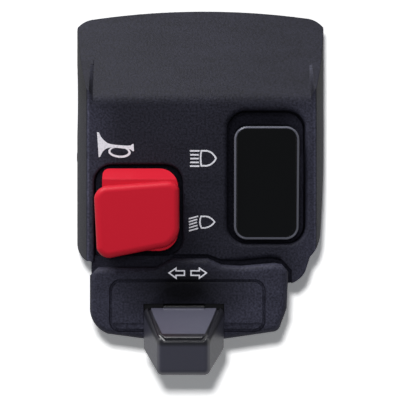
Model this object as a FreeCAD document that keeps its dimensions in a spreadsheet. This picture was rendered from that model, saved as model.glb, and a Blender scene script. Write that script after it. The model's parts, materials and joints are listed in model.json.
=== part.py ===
"""Left handlebar switch cluster for a small motorcycle, clamped on a 22 mm bar.

Frame: the origin is the centre of the handlebar bore, +X points to the rider's right along
the bar, +Z is up, and the rider looks along +Y, so the switch face looks towards -Y.
All sizes are millimetres.
"""

import FreeCAD
import Part
import math
import os
import Sketcher

# Driving dimensions. Each one is a cell of the spreadsheet "Sizes".
SIZES = {
    # handlebar seat and the outline of the two shells
    "bar_radius": 11.1,
    "parting_gap": 0.6,
    "half_width": 30.8,
    "face_left": 27.2,
    "face_right": 27.9,
    "side_round": 92.0,
    "face_depth": 26.0,
    "top_height": 22.2,
    "crown_left": 19.9,
    "crown_right": 20.2,
    "crown_half": 26.2,
    "crown_radius": 173.0,
    "side_top": 16.8,
    "top_corner": 5.6,
    "flat_depth": 6.0,
    "shoulder_depth": 17.9,
    "shoulder_height": 9.4,
    "shoulder_round": 160.0,
    "rim_height": 1.4,
    "crease_height": -0.5,
    "crease_round": 4.0,
    "facet_left": -25.9,
    "facet_right": 26.6,
    "rim_left": 26.7,
    "rim_right": 27.4,
    "rim_start": 19.2,
    "rim_overlap": 0.05,
    "skirt_bottom": -39.6,
    "skirt_corner": 5.2,
    "foot_bottom": -45.0,
    "foot_left": 19.5,
    "foot_depth": 12.0,
    "edge_round": 1.0,
    # chamber behind the face, and the plate that carries the contacts
    "chamber_half_width": 22.8,
    "chamber_top": -13.7,
    "chamber_bottom": -35.2,
    "chamber_front": 12.4,
    "plate_front": 7.2,
    "plate_thick": 1.8,
    "plate_gap": 0.2,
    "plate_screw_x": 20.3,
    "plate_screw_high": -17.0,
    "plate_screw_low": -31.8,
    "plate_boss": 2.2,
    "small_screw_radius": 1.0,
    "small_head_radius": 1.9,
    "small_head_height": 1.1,
    # clamp screws, one above the bar and one below
    "clamp_x": 1.0,
    "clamp_above": 15.8,
    "clamp_below": -18.4,
    "screw_radius": 2.0,
    "screw_head_radius": 3.5,
    "screw_head_height": 2.6,
    "screw_seat": 7.6,
    "screw_reach": 7.8,
    "hole_gap": 0.3,
    "thread_gap": 0.03,
    "insert_radius": 3.0,
    "insert_front": 7.6,
    "insert_back": 1.0,
    "insert_boss": 4.2,
    # dimmer rocker and its well
    "well_left": 6.6,
    "well_right": 25.3,
    "well_top": -3.5,
    "well_bottom": -35.4,
    "well_floor": 15.0,
    "well_corner": 4.4,
    "well_lip": 1.1,
    "rocker_x": 15.9,
    "rocker_z": -19.6,
    "rocker_half_width": 7.8,
    "rocker_half_length": 13.7,
    "rocker_corner": 3.2,
    "rocker_front": 10.4,
    "rocker_skirt": 5.2,
    "rocker_wall": 1.4,
    "rocker_dish": 90.0,
    "rocker_dish_depth": 0.95,
    "rocker_rim": 0.8,
    "rocker_round": 0.5,
    "rocker_tilt": 8.0,
    "pivot_depth": 18.0,
    "pin_radius": 1.0,
    "pin_gap": 0.05,
    "hub_half_width": 2.9,
    "hub_radius": 2.6,
    "tube_radius": 2.3,
    "tube_reach": 5.2,
    "plunger_radius": 1.3,
    "plunger_gap": 0.1,
    "plunger_reach": 7.8,
    "plunger_length": 3.8,
    "fork_gap": 0.25,
    "fork_thick": 1.6,
    "fork_half_height": 2.6,
    "cradle_thick": 1.2,
    "cradle_half_length": 5.7,
    "cradle_half_width": 5.5,
    "cradle_window": 3.4,
    "seesaw_depth": 9.9,
    "seesaw_half_length": 5.0,
    "seesaw_half_width": 2.0,
    "seesaw_thick": 0.5,
    "seesaw_tilt": -6.0,
    "blade_half_thick": 0.4,
    "blade_half_width": 1.5,
    "blade_spread": 4.2,
    "blade_centre_tip": 9.5,
    "blade_side_tip": 9.05,
    "blade_tail": 2.4,
    "contact_gap": 0.1,
    # horn button and its well
    "horn_left": -25.5,
    "horn_right": -4.1,
    "horn_top": -16.4,
    "horn_low": -38.4,
    "horn_floor": 16.0,
    "horn_lip": 0.6,
    "horn_corner": 4.4,
    "horn_x": -14.2,
    "horn_z": -27.2,
    "horn_half_width": 9.0,
    "horn_half_height": 9.8,
    "horn_back": 18.2,
    "horn_front": 34.4,
    "horn_pad_thick": 3.6,
    "horn_slope_depth": 26.4,
    "horn_slope_drop": 3.6,
    "horn_pad_left": -25.2,
    "horn_pad_right": -4.9,
    "horn_pad_low_left": -24.3,
    "horn_pad_left_top": -21.9,
    "horn_pad_right_top": -20.3,
    "horn_pad_right_low": -35.4,
    "horn_pad_left_low": -39.3,
    "pad_low_left": 3.2,
    "pad_low_right": 5.0,
    "pad_high_right": 2.8,
    "pad_high_left": 3.2,
    "horn_pad_round": 1.5,
    "horn_block_round": 1.4,
    "horn_block_corner": 4.5,
    "horn_wall": 1.6,
    "horn_travel": 2.0,
    "stem_radius": 1.6,
    "stem_gap": 0.2,
    "stem_seat_radius": 4.2,
    "stem_seat": 25.0,
    "bridge_front": 12.2,
    "bridge_thick": 0.6,
    "bridge_half": 5.6,
    "bridge_half_height": 2.0,
    "rivet_radius": 2.2,
    "rivet_height": 0.9,
    "horn_spread": 4.4,
    "horn_spring_radius": 2.7,
    "spring_wire": 0.3,
    # turn-signal nose
    "nose_front": 30.0,
    "nose_back": 10.0,
    "nose_left": -26.3,
    "nose_right": 21.1,
    "nose_shoulder": -41.1,
    "nose_hump": -38.9,
    "nose_hump_left": -6.5,
    "nose_hump_right": 1.9,
    "nose_hump_run": 4.1,
    "nose_bottom": -58.1,
    "nose_corner": 6.6,
    "nose_round": 1.6,
    "groove_width": 0.9,
    "groove_floor": 21.5,
    "aperture_x": -3.0,
    "aperture_half_width": 18.6,
    "aperture_top": -43.9,
    "aperture_bottom": -56.4,
    "aperture_corner": 2.6,
    "aperture_depth": 1.6,
    "aperture_ledge": 1.7,
    "bezel_reveal": 0.7,
    "bezel_flange": 0.7,
    "bezel_gap": 0.1,
    "slot_x": -3.84,
    "slot_half_width": 9.6,
    "slot_top": -49.7,
    "slot_bottom": -54.0,
    "scoop_top": -44.9,
    "scoop_radius": 30.0,
    "scoop_tilt": 13.7,
    "scoop_low": 1.2,
    "strip_top": -54.3,
    "strip_depth": 0.25,
    "cavity_front": 27.2,
    "cavity_half_width": 19.2,
    "cavity_top": -44.0,
    "cavity_bottom": -54.6,
    "cavity_corner": 3.0,
    "slide_gap": 0.15,
    "shutter_half_width": 14.4,
    "shutter_front": 27.0,
    "shutter_thick": 1.2,
    "carriage_half_width": 9.6,
    "carriage_back": 15.2,
    "turn_travel": 4.5,
    "neck_half_width": 4.8,
    "neck_half_height": 1.7,
    "neck_z": -51.8,
    "neck_gap": 0.3,
    "neck_flange": 0.8,
    "neck_end": 24.2,
    "socket_end": 20.4,
    "knob_back": 31.7,
    "knob_front": 44.2,
    "knob_half_width": 9.5,
    "knob_top": -50.6,
    "knob_low": -61.4,
    "knob_tip_half_width": 5.9,
    "knob_tip_top": -56.9,
    "knob_tip_low": -66.2,
    "knob_round": 1.4,
    "knob_groove": 0.45,
    "knob_groove_edge": 1.2,
    "knob_groove_turn": 1.7,
    "board_front": 13.7,
    "board_thick": 1.8,
    "track_front": 15.0,
    "track_z": -46.4,
    "track_half": 1.9,
    "ball_radius": 1.3,
    "ball_proud": 0.75,
    "ball_gap": 0.1,
    "wiper_thick": 0.35,
    "stud_radius": 1.2,
    "cover_thick": 1.8,
    "cover_ledge": 1.2,
    # rear shell
    "rear_depth": 16.5,
    "rear_half_width": 29.3,
    "rear_round": 24.0,
    "rear_waist": -20.0,
    "rear_waist_depth": 15.6,
    "rear_foot_depth": 9.6,
    "rear_floor": 7.4,
    # passing-light trigger on the rear shell
    "trigger_tip": -31.9,
    "trigger_pivot_x": -9.0,
    "trigger_pivot_y": 13.2,
    "trigger_end": -6.4,
    "trigger_z": -13.9,
    "trigger_half_height": 2.6,
    "trigger_gap": 0.5,
    "trigger_inner": 11.6,
    "trigger_outer": 15.2,
    "trigger_floor": 9.0,
    "trigger_pin": 0.9,
    "trigger_leg_x": -20.0,
    "trigger_leg": 0.9,
    "trigger_leg_end": 5.6,
    "trigger_leg_swing": 0.8,
    "trigger_seat": 13.6,
    "trigger_bore": 2.0,
    "leaf_back": 4.55,
    "leaf_thick": 0.4,
    "leaf_half": 4.2,
    # cable outlet
    "outlet_x": 10.0,
    "outlet_y": 3.9,
    "outlet_radius": 2.7,
    "cable_radius": 1.8,
    "grommet_lip": 0.6,
    "grommet_lip_thick": 0.9,
    "grommet_tail": 4.5,
}


class Size:
    """A length that carries the spreadsheet formula it comes from."""

    def __init__(self, formula, value):
        self.formula = formula
        self.value = float(value)

    def _with(self, other, sign, result):
        text = other.formula if isinstance(other, Size) else repr(float(other))
        return Size(f"({self.formula} {sign} {text})", result)

    def __add__(self, other):
        return self._with(other, "+", self.value + number(other))

    def __sub__(self, other):
        return self._with(other, "-", self.value - number(other))

    def __mul__(self, other):
        return self._with(other, "*", self.value * number(other))

    def __truediv__(self, other):
        return self._with(other, "/", self.value / number(other))

    def __neg__(self):
        return Size(f"(0 - {self.formula})", -self.value)


def number(length):
    """The plain value of a Size or of a number."""
    return length.value if isinstance(length, Size) else float(length)


def formula(length):
    """The spreadsheet formula of a Size or of a number."""
    return length.formula if isinstance(length, Size) else repr(float(length))


doc = FreeCAD.newDocument("switch_cluster")
sheet = doc.addObject("Spreadsheet::Sheet", "Sizes")
for row, (alias, value) in enumerate(SIZES.items(), 1):
    sheet.set(f"A{row}", alias)
    sheet.set(f"B{row}", str(value))
    sheet.setAlias(f"B{row}", alias)
doc.recompute()


class Sizes:
    """Every cell of the sheet as a Size, so that s.face_depth / 2 keeps its formula."""

    def __init__(self, table):
        for name, length in table.items():
            setattr(self, name, Size(f"Sizes.{name}", length))


s = Sizes(SIZES)

half_gap = s.parting_gap / 2
zero = s.parting_gap * 0


# Sketches and features


def body(label):
    """A new part body."""
    made = doc.addObject("PartDesign::Body", label)
    made.Label = label
    return made


def sketch(owner, role, offset=0.0):
    """A sketch on one of the body's own planes, moved along that plane's normal."""
    made = owner.newObject("Sketcher::SketchObject", "Sketch")
    support = next(f for f in owner.Origin.OriginFeatures if f.Role == role)
    made.AttachmentSupport = [(support, "")]
    made.MapMode = "FlatFace"
    made.setExpression("AttachmentOffset.Base.z", formula(offset))
    return made


def pin_point(owner, geometry, end, x, y):
    """Fixes one end of a curve at x, y from the sketch's origin."""
    for kind, length in (("DistanceX", x), ("DistanceY", y)):
        index = owner.addConstraint(Sketcher.Constraint(kind, -1, 1, geometry, end, number(length)))
        owner.setExpression(f"Constraints[{index}]", formula(length))


def outline(owner, points, arcs=None):
    """A closed outline. arcs gives edge number: radius, positive where the arc bulges to the
    right of its edge and negative where it bulges to the left."""
    arcs = arcs or {}
    first = owner.GeometryCount
    count = len(points)
    for i, (x, y) in enumerate(points):
        start = FreeCAD.Vector(number(x), number(y), 0)
        end = FreeCAD.Vector(*(number(v) for v in points[(i + 1) % count]), 0)
        if i in arcs:
            radius = number(arcs[i])
            chord = end - start
            half = chord.Length / 2
            rise = abs(radius) - math.sqrt(max(radius * radius - half * half, 0))
            side = FreeCAD.Vector(chord.y, -chord.x, 0).normalize() * math.copysign(rise, radius)
            owner.addGeometry(Part.Arc(start, (start + end) * 0.5 + side, end))
        else:
            owner.addGeometry(Part.LineSegment(start, end))
    ends = []
    for i, (x, y) in enumerate(points):
        start = FreeCAD.Vector(number(x), number(y), 0)
        near = (owner.getPoint(first + i, 1) - start).Length < (owner.getPoint(first + i, 2) - start).Length
        ends.append((1, 2) if near else (2, 1))
    for i, (x, y) in enumerate(points):
        before = (i - 1) % count
        owner.addConstraint(
            Sketcher.Constraint("Coincident", first + before, ends[before][1], first + i, ends[i][0])
        )
        pin_point(owner, first + i, ends[i][0], x, y)
    for i, radius in arcs.items():
        size = radius if number(radius) > 0 else -radius
        index = owner.addConstraint(Sketcher.Constraint("Radius", first + i, number(size)))
        owner.setExpression(f"Constraints[{index}]", formula(size))
    return owner


def rectangle(owner, x0, x1, y0, y1, corner=None):
    """A rectangle, with rounded corners where corner is given."""
    if corner is None:
        return outline(owner, [(x0, y0), (x1, y0), (x1, y1), (x0, y1)])
    r = corner
    points = [
        (x0 + r, y0), (x1 - r, y0), (x1, y0 + r), (x1, y1 - r),
        (x1 - r, y1), (x0 + r, y1), (x0, y1 - r), (x0, y0 + r),
    ]
    return outline(owner, points, {1: r, 3: r, 5: r, 7: r})


def circle(owner, x, y, radius):
    """A circle, centred on x, y."""
    centre = FreeCAD.Vector(number(x), number(y), 0)
    index = owner.addGeometry(Part.Circle(centre, FreeCAD.Vector(0, 0, 1), number(radius)))
    pin_point(owner, index, 3, x, y)
    where = owner.addConstraint(Sketcher.Constraint("Radius", index, number(radius)))
    owner.setExpression(f"Constraints[{where}]", formula(radius))
    return owner


def extrude(kind, owner, profile, length, reverse=False, both=False):
    """A pad or a pocket of a sketch. A length of None goes right through."""
    made = owner.newObject(f"PartDesign::{kind}", kind)
    made.Profile = profile
    made.Reversed = reverse
    if both:
        made.SideType = "Symmetric"
    if length is None:
        made.Type = "ThroughAll"
    else:
        made.setExpression("Length", formula(length))
    profile.Visibility = False
    doc.recompute()
    return made


def pad(owner, profile, length, **how):
    return extrude("Pad", owner, profile, length, **how)


def pocket(owner, profile, length, **how):
    return extrude("Pocket", owner, profile, length, **how)


def fillet(owner, radius, wanted):
    """Rounds the edges of the body's tip that wanted(edge) picks."""
    base = owner.Tip
    names = [f"Edge{i}" for i, edge in enumerate(base.Shape.Edges, 1) if wanted(edge)]
    made = owner.newObject("PartDesign::Fillet", "Fillet")
    made.Base = (base, names)
    made.setExpression("Radius", formula(radius))
    doc.recompute()
    return made


# Primitives and booleans


def place(made, x, y, z, turn=None):
    """Binds an object's place to the sheet, and turns it about an axis if turn is given."""
    for axis, length in zip("xyz", (x, y, z)):
        made.setExpression(f"Placement.Base.{axis}", formula(length))
    if turn:
        axis, angle = turn
        made.Placement.Rotation = FreeCAD.Rotation(FreeCAD.Vector(*axis), number(angle))
    return made


def box(x0, x1, y0, y1, z0, z1):
    """A box between two corners."""
    made = doc.addObject("Part::Box", "Box")
    made.setExpression("Length", formula(x1 - x0))
    made.setExpression("Width", formula(y1 - y0))
    made.setExpression("Height", formula(z1 - z0))
    return place(made, x0, y0, z0)


ALONG = {"X": ((0, 1, 0), 90), "Y": ((1, 0, 0), -90), "Z": ((0, 0, 1), 0)}


def rod(axis, x, y, z, radius, length):
    """A cylinder that starts at x, y, z and runs along +axis."""
    made = doc.addObject("Part::Cylinder", "Rod")
    made.setExpression("Radius", formula(radius))
    made.setExpression("Height", formula(length))
    return place(made, x, y, z, ALONG[axis])


def rod_between(start, end, radius):
    """A cylinder from one point to another."""
    run = FreeCAD.Vector(*(number(b) - number(a) for a, b in zip(start, end)))
    a, b = max(zip(start, end), key=lambda ends: abs(number(ends[1]) - number(ends[0])))
    made = rod("Z", *start, radius, (b - a) * (run.Length / (number(b) - number(a))))
    made.Placement.Rotation = FreeCAD.Rotation(FreeCAD.Vector(0, 0, 1), run)
    return made


def ball(x, y, z, radius):
    """A whole sphere."""
    made = doc.addObject("Part::Sphere", "Ball")
    made.setExpression("Radius", formula(radius))
    return place(made, x, y, z)


def cut(base, *tools):
    """base with every tool taken away."""
    made = doc.addObject("Part::Cut", "Cut")
    made.Base = base
    made.Tool = tools[0] if len(tools) == 1 else fuse(*tools)
    return made


def fuse(*shapes):
    """Several shapes joined into one."""
    made = doc.addObject("Part::MultiFuse", "Fuse")
    made.Shapes = list(shapes)
    made.Refine = True
    return made


def group(*shapes):
    """Several separate solids kept as one node."""
    made = doc.addObject("Part::Compound", "Group")
    made.Links = list(shapes)
    return made


NODES = {}


def node(name, made):
    """Names an object as one of the parts that are written out."""
    made.Label = name
    NODES[name] = made
    return made


# Front shell


def shell_outline(owner):
    """The outline that both shells share, drawn on the XZ plane."""
    points = [
        (s.nose_left, s.foot_bottom),
        (s.foot_left + 2.3, s.foot_bottom),
        (s.foot_left + 5.8, s.foot_bottom + 3),
        (s.face_right - 1.5, s.skirt_bottom + 1),
        (s.half_width - 1.6, s.skirt_bottom + 6),
        (s.half_width, -s.half_width / 8),
        (s.half_width, s.side_top + 0.4),
        (s.crown_half, s.crown_right),
        (-s.crown_half, s.crown_left),
        (-s.half_width, s.side_top),
        (-s.half_width, s.skirt_bottom + s.skirt_corner),
        (s.skirt_corner - s.half_width - 1.6, s.skirt_bottom),
        (s.nose_left, s.skirt_bottom),
    ]
    arcs = {
        1: s.top_corner,
        3: s.top_corner * 2,
        4: s.crown_radius * 2,
        6: s.top_corner,
        7: s.crown_radius,
        8: s.top_corner,
        10: s.top_corner,
    }
    return outline(owner, points, arcs)


def nose_outline():
    """The outer edge of the nose, starting at its lower left and going right."""
    return [
        (s.nose_left, s.nose_bottom + s.nose_corner * 1.2),
        (s.nose_left + s.nose_corner * 0.65, s.nose_bottom + 1.2),
        (s.nose_left + s.nose_corner * 2, s.nose_bottom),
        (s.nose_right - s.nose_corner * 2.3, s.nose_bottom),
        (s.nose_right - 3.4, s.nose_bottom + 1.7),
        (s.nose_right - 1.9, s.nose_bottom + 3.2),
        (s.nose_right - 0.4, s.nose_bottom + s.nose_corner * 1.1),
        (s.nose_right, s.nose_shoulder - 1),
        (s.nose_right - 1.6, s.nose_shoulder + 0.8),
        (s.nose_right - 3.3, s.nose_shoulder + 1.1),
        (s.nose_right - 11.3, s.nose_shoulder + 0.4),
        (s.nose_hump_right + 3.3, s.nose_shoulder + 0.7),
        (s.nose_hump_right, s.nose_hump),
        (s.nose_hump_left, s.nose_hump),
        (s.nose_hump_left - s.nose_hump_run, s.nose_shoulder),
        (s.nose_left + 1.9, s.nose_shoulder),
        (s.nose_left, s.nose_shoulder - 1.9),
    ]


front = body("front_housing")
pad(front, shell_outline(sketch(front, "XZ_Plane", half_gap)), s.face_depth - half_gap)

crown = [
    (-s.flat_depth, s.top_height),
    (-s.shoulder_depth, s.shoulder_height),
    (-s.face_depth, s.rim_height),
    (-s.face_depth * 2, s.rim_height),
    (-s.face_depth * 2, s.top_height * 2),
    (-s.flat_depth, s.top_height * 2),
]
pocket(front, outline(sketch(front, "YZ_Plane"), crown, {0: s.shoulder_round}), None, both=True)

belly = [
    (half_gap, s.skirt_bottom),
    (-s.foot_depth, s.skirt_bottom),
    (-s.foot_depth - 6, s.foot_bottom * 1.2),
    (half_gap, s.foot_bottom * 1.2),
]
pocket(front, outline(sketch(front, "YZ_Plane"), belly), None, both=True)


def draft(owner, end, left, right, bulge=None):
    """Leans both side walls in, from half_width at the parting plane to left and right at y = end."""
    made = sketch(owner, "XY_Plane")
    for side, narrow in ((1, right), (-1, left)):
        wall = [
            (s.half_width * side, zero),
            (narrow * side, end),
            (narrow * side, end * 2),
            (s.half_width * 2 * side, end * 2),
            (s.half_width * 2 * side, zero),
        ]
        outline(made, wall, {0: bulge * -side} if bulge else None)
    return pocket(owner, made, None, both=True)


draft(front, -s.face_depth, s.face_left, s.face_right, s.side_round)

# the long outer edges of the face
fillet(
    front,
    s.edge_round,
    lambda e: (
        abs(e.CenterOfMass.y + SIZES["face_depth"]) < 0.1
        and (
            abs(e.CenterOfMass.x + SIZES["face_left"]) < 0.1
            or abs(e.CenterOfMass.x - SIZES["face_right"]) < 0.1
        )
        and e.Length > 10
    ),
)

# the slope between the two rims, with a soft crease where it meets the face
crease_rise = s.crease_round * 0.277
crease_run = crease_rise * (s.face_depth - s.shoulder_depth) / (s.shoulder_height - s.crease_height)
facet_low = s.crease_height - s.crease_round * 0.357
facet = [
    (-s.shoulder_depth, s.shoulder_height),
    (crease_run - s.face_depth, s.crease_height + crease_rise),
    (-s.face_depth, facet_low),
    (-s.face_depth * 2, facet_low),
    (-s.face_depth * 2, s.shoulder_height),
]
facet_sketch = outline(sketch(front, "YZ_Plane", s.facet_right), facet, {1: s.crease_round * 1.1})
pocket(front, facet_sketch, s.facet_right - s.facet_left)


def slope_height(depth, low):
    """Height at one depth of the plane that falls from the shoulder to low at the face."""
    share = (depth - s.shoulder_depth) / (s.face_depth - s.shoulder_depth)
    return s.shoulder_height - (s.shoulder_height - low) * share + s.rim_overlap


for outer, inner in (
    (-s.rim_left, s.facet_left + s.rim_overlap),
    (s.rim_right, s.facet_right - s.rim_overlap),
):
    wedge = []
    for depth in (s.rim_start, s.face_depth + s.rim_overlap):
        floor = slope_height(depth, s.crease_height)
        high = slope_height(depth, s.rim_height)
        wedge.append(outline(sketch(front, "XZ_Plane", depth), [(inner, floor), (outer, high), (inner, high)]))
        wedge[-1].Visibility = False
    lean = front.newObject("PartDesign::SubtractiveLoft", "Lean")
    lean.Profile = wedge[0]
    lean.Sections = wedge[1:]
    lean.Ruled = True
    doc.recompute()

nose = outline(
    sketch(front, "XZ_Plane", s.nose_back),
    nose_outline(),
    {0: s.nose_corner, 4: s.nose_hump_run / 2, 7: s.nose_hump_run / 2, 15: s.nose_hump_run / 2},
)
pad(front, nose, s.nose_front - s.nose_back)
fillet(
    front,
    s.nose_round,
    lambda e: abs(e.BoundBox.YMin + SIZES["nose_front"]) < 0.01 and e.BoundBox.YLength < 0.01,
)

# the groove between the face and the nose, open to the horn well on the left
rim = nose_outline()[7:]
lip = [
    (s.nose_left - 2, s.nose_shoulder - 1.9),
    (s.nose_left - 2, s.nose_shoulder + 1.3),
    (s.horn_left, s.nose_shoulder + 1.3),
    (s.horn_left, s.nose_hump + s.groove_width),
    (s.nose_hump_right, s.nose_hump + s.groove_width),
    (s.nose_hump_right + 3.1, s.nose_shoulder + 1.9),
    (s.nose_right - 11.3, s.nose_shoulder + 1.7),
    (s.nose_right - 4.2, s.nose_shoulder + 2.4),
    (s.nose_right - 1.4, s.nose_shoulder + 1.8),
    (s.nose_right + s.groove_width, s.nose_shoulder - 0.7),
    (s.nose_right + s.groove_width, s.foot_bottom - 1),
    (s.nose_right, s.foot_bottom - 1),
]
groove = outline(sketch(front, "XZ_Plane", s.nose_front + 1), rim + lip)
pocket(front, groove, s.nose_front + 1 - s.groove_floor)

# the two wells
well = rectangle(
    sketch(front, "XZ_Plane", s.face_depth + 1),
    s.well_left, s.well_right, s.well_bottom, s.well_top, s.well_corner,
)
pocket(front, well, s.face_depth + 1 - s.well_floor)
r = s.horn_corner
horn_well = outline(
    sketch(front, "XZ_Plane", s.face_depth + 1),
    [
        (s.horn_left, s.horn_low),
        (s.horn_right - r, s.horn_low),
        (s.horn_right, s.horn_low + r),
        (s.horn_right, s.horn_top - r),
        (s.horn_right - r, s.horn_top),
        (s.horn_left + r, s.horn_top),
        (s.horn_left, s.horn_top - r),
    ],
    {1: r, 3: r, 5: r},
)
pocket(front, horn_well, s.face_depth + 1 - s.horn_floor)


def well_edge(left, right):
    """A test for the edges of the well between left and right that lie in the face."""

    def wanted(edge):
        around = edge.BoundBox
        flat = around.YLength < 0.01 and abs(around.YMin + SIZES["face_depth"]) < 0.01
        within = around.XMin > SIZES[left] - 0.1 and around.XMax < SIZES[right] + 0.1
        above = around.ZMin > SIZES["nose_shoulder"] + 1.2
        return flat and within and above and around.ZMax < SIZES["well_top"] + 0.1

    return wanted


fillet(front, s.well_lip, well_edge("well_left", "well_right"))
fillet(front, s.horn_lip, well_edge("horn_left", "horn_right"))

# chamber behind the wells, with its bosses
chamber = rectangle(
    sketch(front, "XZ_Plane", -half_gap),
    -s.chamber_half_width, s.chamber_half_width, s.chamber_bottom, s.chamber_top, s.plate_boss,
)
pocket(front, chamber, s.chamber_front + half_gap, reverse=True)
boss = sketch(front, "XZ_Plane", half_gap)
circle(boss, s.clamp_x, s.clamp_below, s.insert_boss)
pad(front, boss, s.chamber_front)
posts = sketch(front, "XZ_Plane", s.plate_front)
circle(posts, -s.plate_screw_x, s.plate_screw_high, s.plate_boss)
circle(posts, s.plate_screw_x, s.plate_screw_low, s.plate_boss)
pad(front, posts, s.chamber_front - s.plate_front + 0.2)

# ways through the well floors
window = rectangle(
    sketch(front, "XZ_Plane", s.horn_floor + 1),
    s.rocker_x - s.hub_half_width - s.fork_gap * 2 - s.fork_thick,
    s.rocker_x + s.hub_half_width + s.fork_gap * 2 + s.fork_thick,
    s.rocker_z - s.cradle_window,
    s.rocker_z + s.cradle_window,
)
pocket(front, window, s.horn_floor + 2 - s.chamber_front)
stem_hole = sketch(front, "XZ_Plane", s.horn_floor + 1)
circle(stem_hole, s.horn_x, s.horn_z, s.stem_radius + s.stem_gap)
pocket(front, stem_hole, s.horn_floor + 2 - s.chamber_front)

# handlebar seat and the holes for the inserts and small screws
bore = circle(sketch(front, "YZ_Plane"), zero, zero, s.bar_radius)
pocket(front, bore, None, both=True)
for z in (s.clamp_above, s.clamp_below):
    insert_hole = sketch(front, "XZ_Plane", -half_gap)
    circle(insert_hole, s.clamp_x, z, s.insert_radius + s.thread_gap)
    pocket(front, insert_hole, s.insert_front + half_gap, reverse=True)
    tip_hole = sketch(front, "XZ_Plane", -half_gap)
    circle(tip_hole, s.clamp_x, z, s.screw_radius + s.hole_gap)
    pocket(front, tip_hole, s.screw_reach + s.hole_gap * 3, reverse=True)
pilot = sketch(front, "XZ_Plane", s.plate_front - 1)
circle(pilot, -s.plate_screw_x, s.plate_screw_high, s.small_screw_radius + s.thread_gap)
circle(pilot, s.plate_screw_x, s.plate_screw_low, s.small_screw_radius + s.thread_gap)
pocket(front, pilot, s.chamber_front - s.plate_front, reverse=True)

# inside of the nose, and the opening in its front
cavity_left = s.slot_x - s.cavity_half_width
cavity_right = s.slot_x + s.cavity_half_width
cavity = rectangle(
    sketch(front, "XZ_Plane", s.nose_back - 1),
    cavity_left, cavity_right, s.cavity_bottom, s.cavity_top, s.cavity_corner,
)
pocket(front, cavity, s.cavity_front - s.nose_back + 1, reverse=True)
cover_seat = rectangle(
    sketch(front, "XZ_Plane", s.nose_back - 1),
    cavity_left - s.cover_ledge,
    cavity_right + s.cover_ledge,
    s.cavity_bottom - s.cover_ledge,
    s.cavity_top + s.cover_ledge,
    s.cavity_corner + s.cover_ledge,
)
pocket(front, cover_seat, s.cover_thick + 1, reverse=True)


def aperture(owner, depth, inset):
    """The outline of the opening in the nose, drawn inset from its edge."""
    return rectangle(
        sketch(owner, "XZ_Plane", depth),
        s.aperture_x - s.aperture_half_width + inset,
        s.aperture_x + s.aperture_half_width - inset,
        s.aperture_bottom + inset,
        s.aperture_top - inset,
        s.aperture_corner - inset * 0.7,
    )


pocket(front, aperture(front, s.nose_front + 1, zero), s.aperture_depth + 1)
pocket(front, aperture(front, s.nose_front + 1, s.aperture_ledge), s.nose_front + 2 - s.cavity_front)
node("front_housing", front)

# Rear shell

rear = body("rear_housing")
pad(rear, shell_outline(sketch(rear, "XZ_Plane", -s.rear_depth)), s.rear_depth - half_gap)
rear_top = [
    (s.flat_depth, s.top_height),
    (s.rear_depth, s.flat_depth),
    (s.rear_depth * 2, s.flat_depth),
    (s.rear_depth * 2, s.top_height * 2),
    (s.flat_depth, s.top_height * 2),
]
pocket(rear, outline(sketch(rear, "YZ_Plane"), rear_top, {0: -s.rear_round}), None, both=True)
rear_low = [
    (s.rear_depth, s.rear_waist / 2),
    (s.rear_waist_depth, s.rear_waist),
    (s.rear_foot_depth, s.skirt_bottom),
    (-half_gap, s.skirt_bottom),
    (-half_gap, s.foot_bottom * 2),
    (s.rear_depth * 2, s.foot_bottom * 2),
    (s.rear_depth * 2, s.rear_waist / 2),
]
pocket(rear, outline(sketch(rear, "YZ_Plane"), rear_low), None, both=True)
draft(rear, s.rear_depth, s.rear_half_width, s.rear_half_width)

rear_chamber = rectangle(
    sketch(rear, "XZ_Plane", half_gap),
    -s.chamber_half_width, s.chamber_half_width, s.chamber_bottom, s.chamber_top, s.plate_boss,
)
pocket(rear, rear_chamber, s.rear_floor + half_gap)
rear_boss = sketch(rear, "XZ_Plane", -s.rear_floor - 0.2)
circle(rear_boss, s.clamp_x, s.clamp_below, s.insert_boss)
pad(rear, rear_boss, s.rear_floor + 0.2 - half_gap)
rear_bore = circle(sketch(rear, "YZ_Plane"), zero, zero, s.bar_radius)
pocket(rear, rear_bore, None, both=True)
for z in (s.clamp_above, s.clamp_below):
    shank_hole = sketch(rear, "XZ_Plane", half_gap)
    circle(shank_hole, s.clamp_x, z, s.screw_radius + s.hole_gap)
    pocket(rear, shank_hole, s.rear_depth)
    head_hole = sketch(rear, "XZ_Plane", -s.rear_depth - 1)
    circle(head_hole, s.clamp_x, z, s.screw_head_radius + s.hole_gap)
    pocket(rear, head_hole, s.rear_depth + 1 - s.screw_seat, reverse=True)

trigger_slot = rectangle(
    sketch(rear, "XZ_Plane", -s.rear_depth - 1),
    -s.half_width * 1.2,
    s.trigger_end + s.trigger_gap,
    s.trigger_z - s.trigger_half_height - s.trigger_gap,
    s.trigger_z + s.trigger_half_height + s.trigger_gap,
)
pocket(rear, trigger_slot, s.rear_depth + 1 - s.trigger_floor, reverse=True)
leg_way = s.trigger_leg + s.hole_gap
leg_hole = rectangle(
    sketch(rear, "XZ_Plane", half_gap),
    s.trigger_leg_x - leg_way, s.trigger_leg_x + leg_way + s.trigger_leg_swing,
    s.trigger_z - leg_way, s.trigger_z + leg_way, s.trigger_leg,
)
pocket(rear, leg_hole, s.rear_depth)
leaf_slot = rectangle(
    sketch(rear, "XZ_Plane", half_gap),
    s.trigger_leg_x - s.leaf_half,
    s.trigger_leg_x + s.leaf_half,
    s.trigger_z - 1.4,
    s.trigger_z + 1.4,
)
pocket(rear, leaf_slot, s.trigger_leg_end + 1 + half_gap)
pin_hole = sketch(rear, "XY_Plane", s.trigger_z + s.trigger_half_height * 1.7)
circle(pin_hole, s.trigger_pivot_x, s.trigger_pivot_y, s.trigger_pin + s.thread_gap)
pocket(rear, pin_hole, s.trigger_half_height * 3.4)
outlet = circle(sketch(rear, "XY_Plane", s.chamber_bottom + 1), s.outlet_x, s.outlet_y, s.outlet_radius)
pocket(rear, outlet, s.chamber_half_width)
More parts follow.
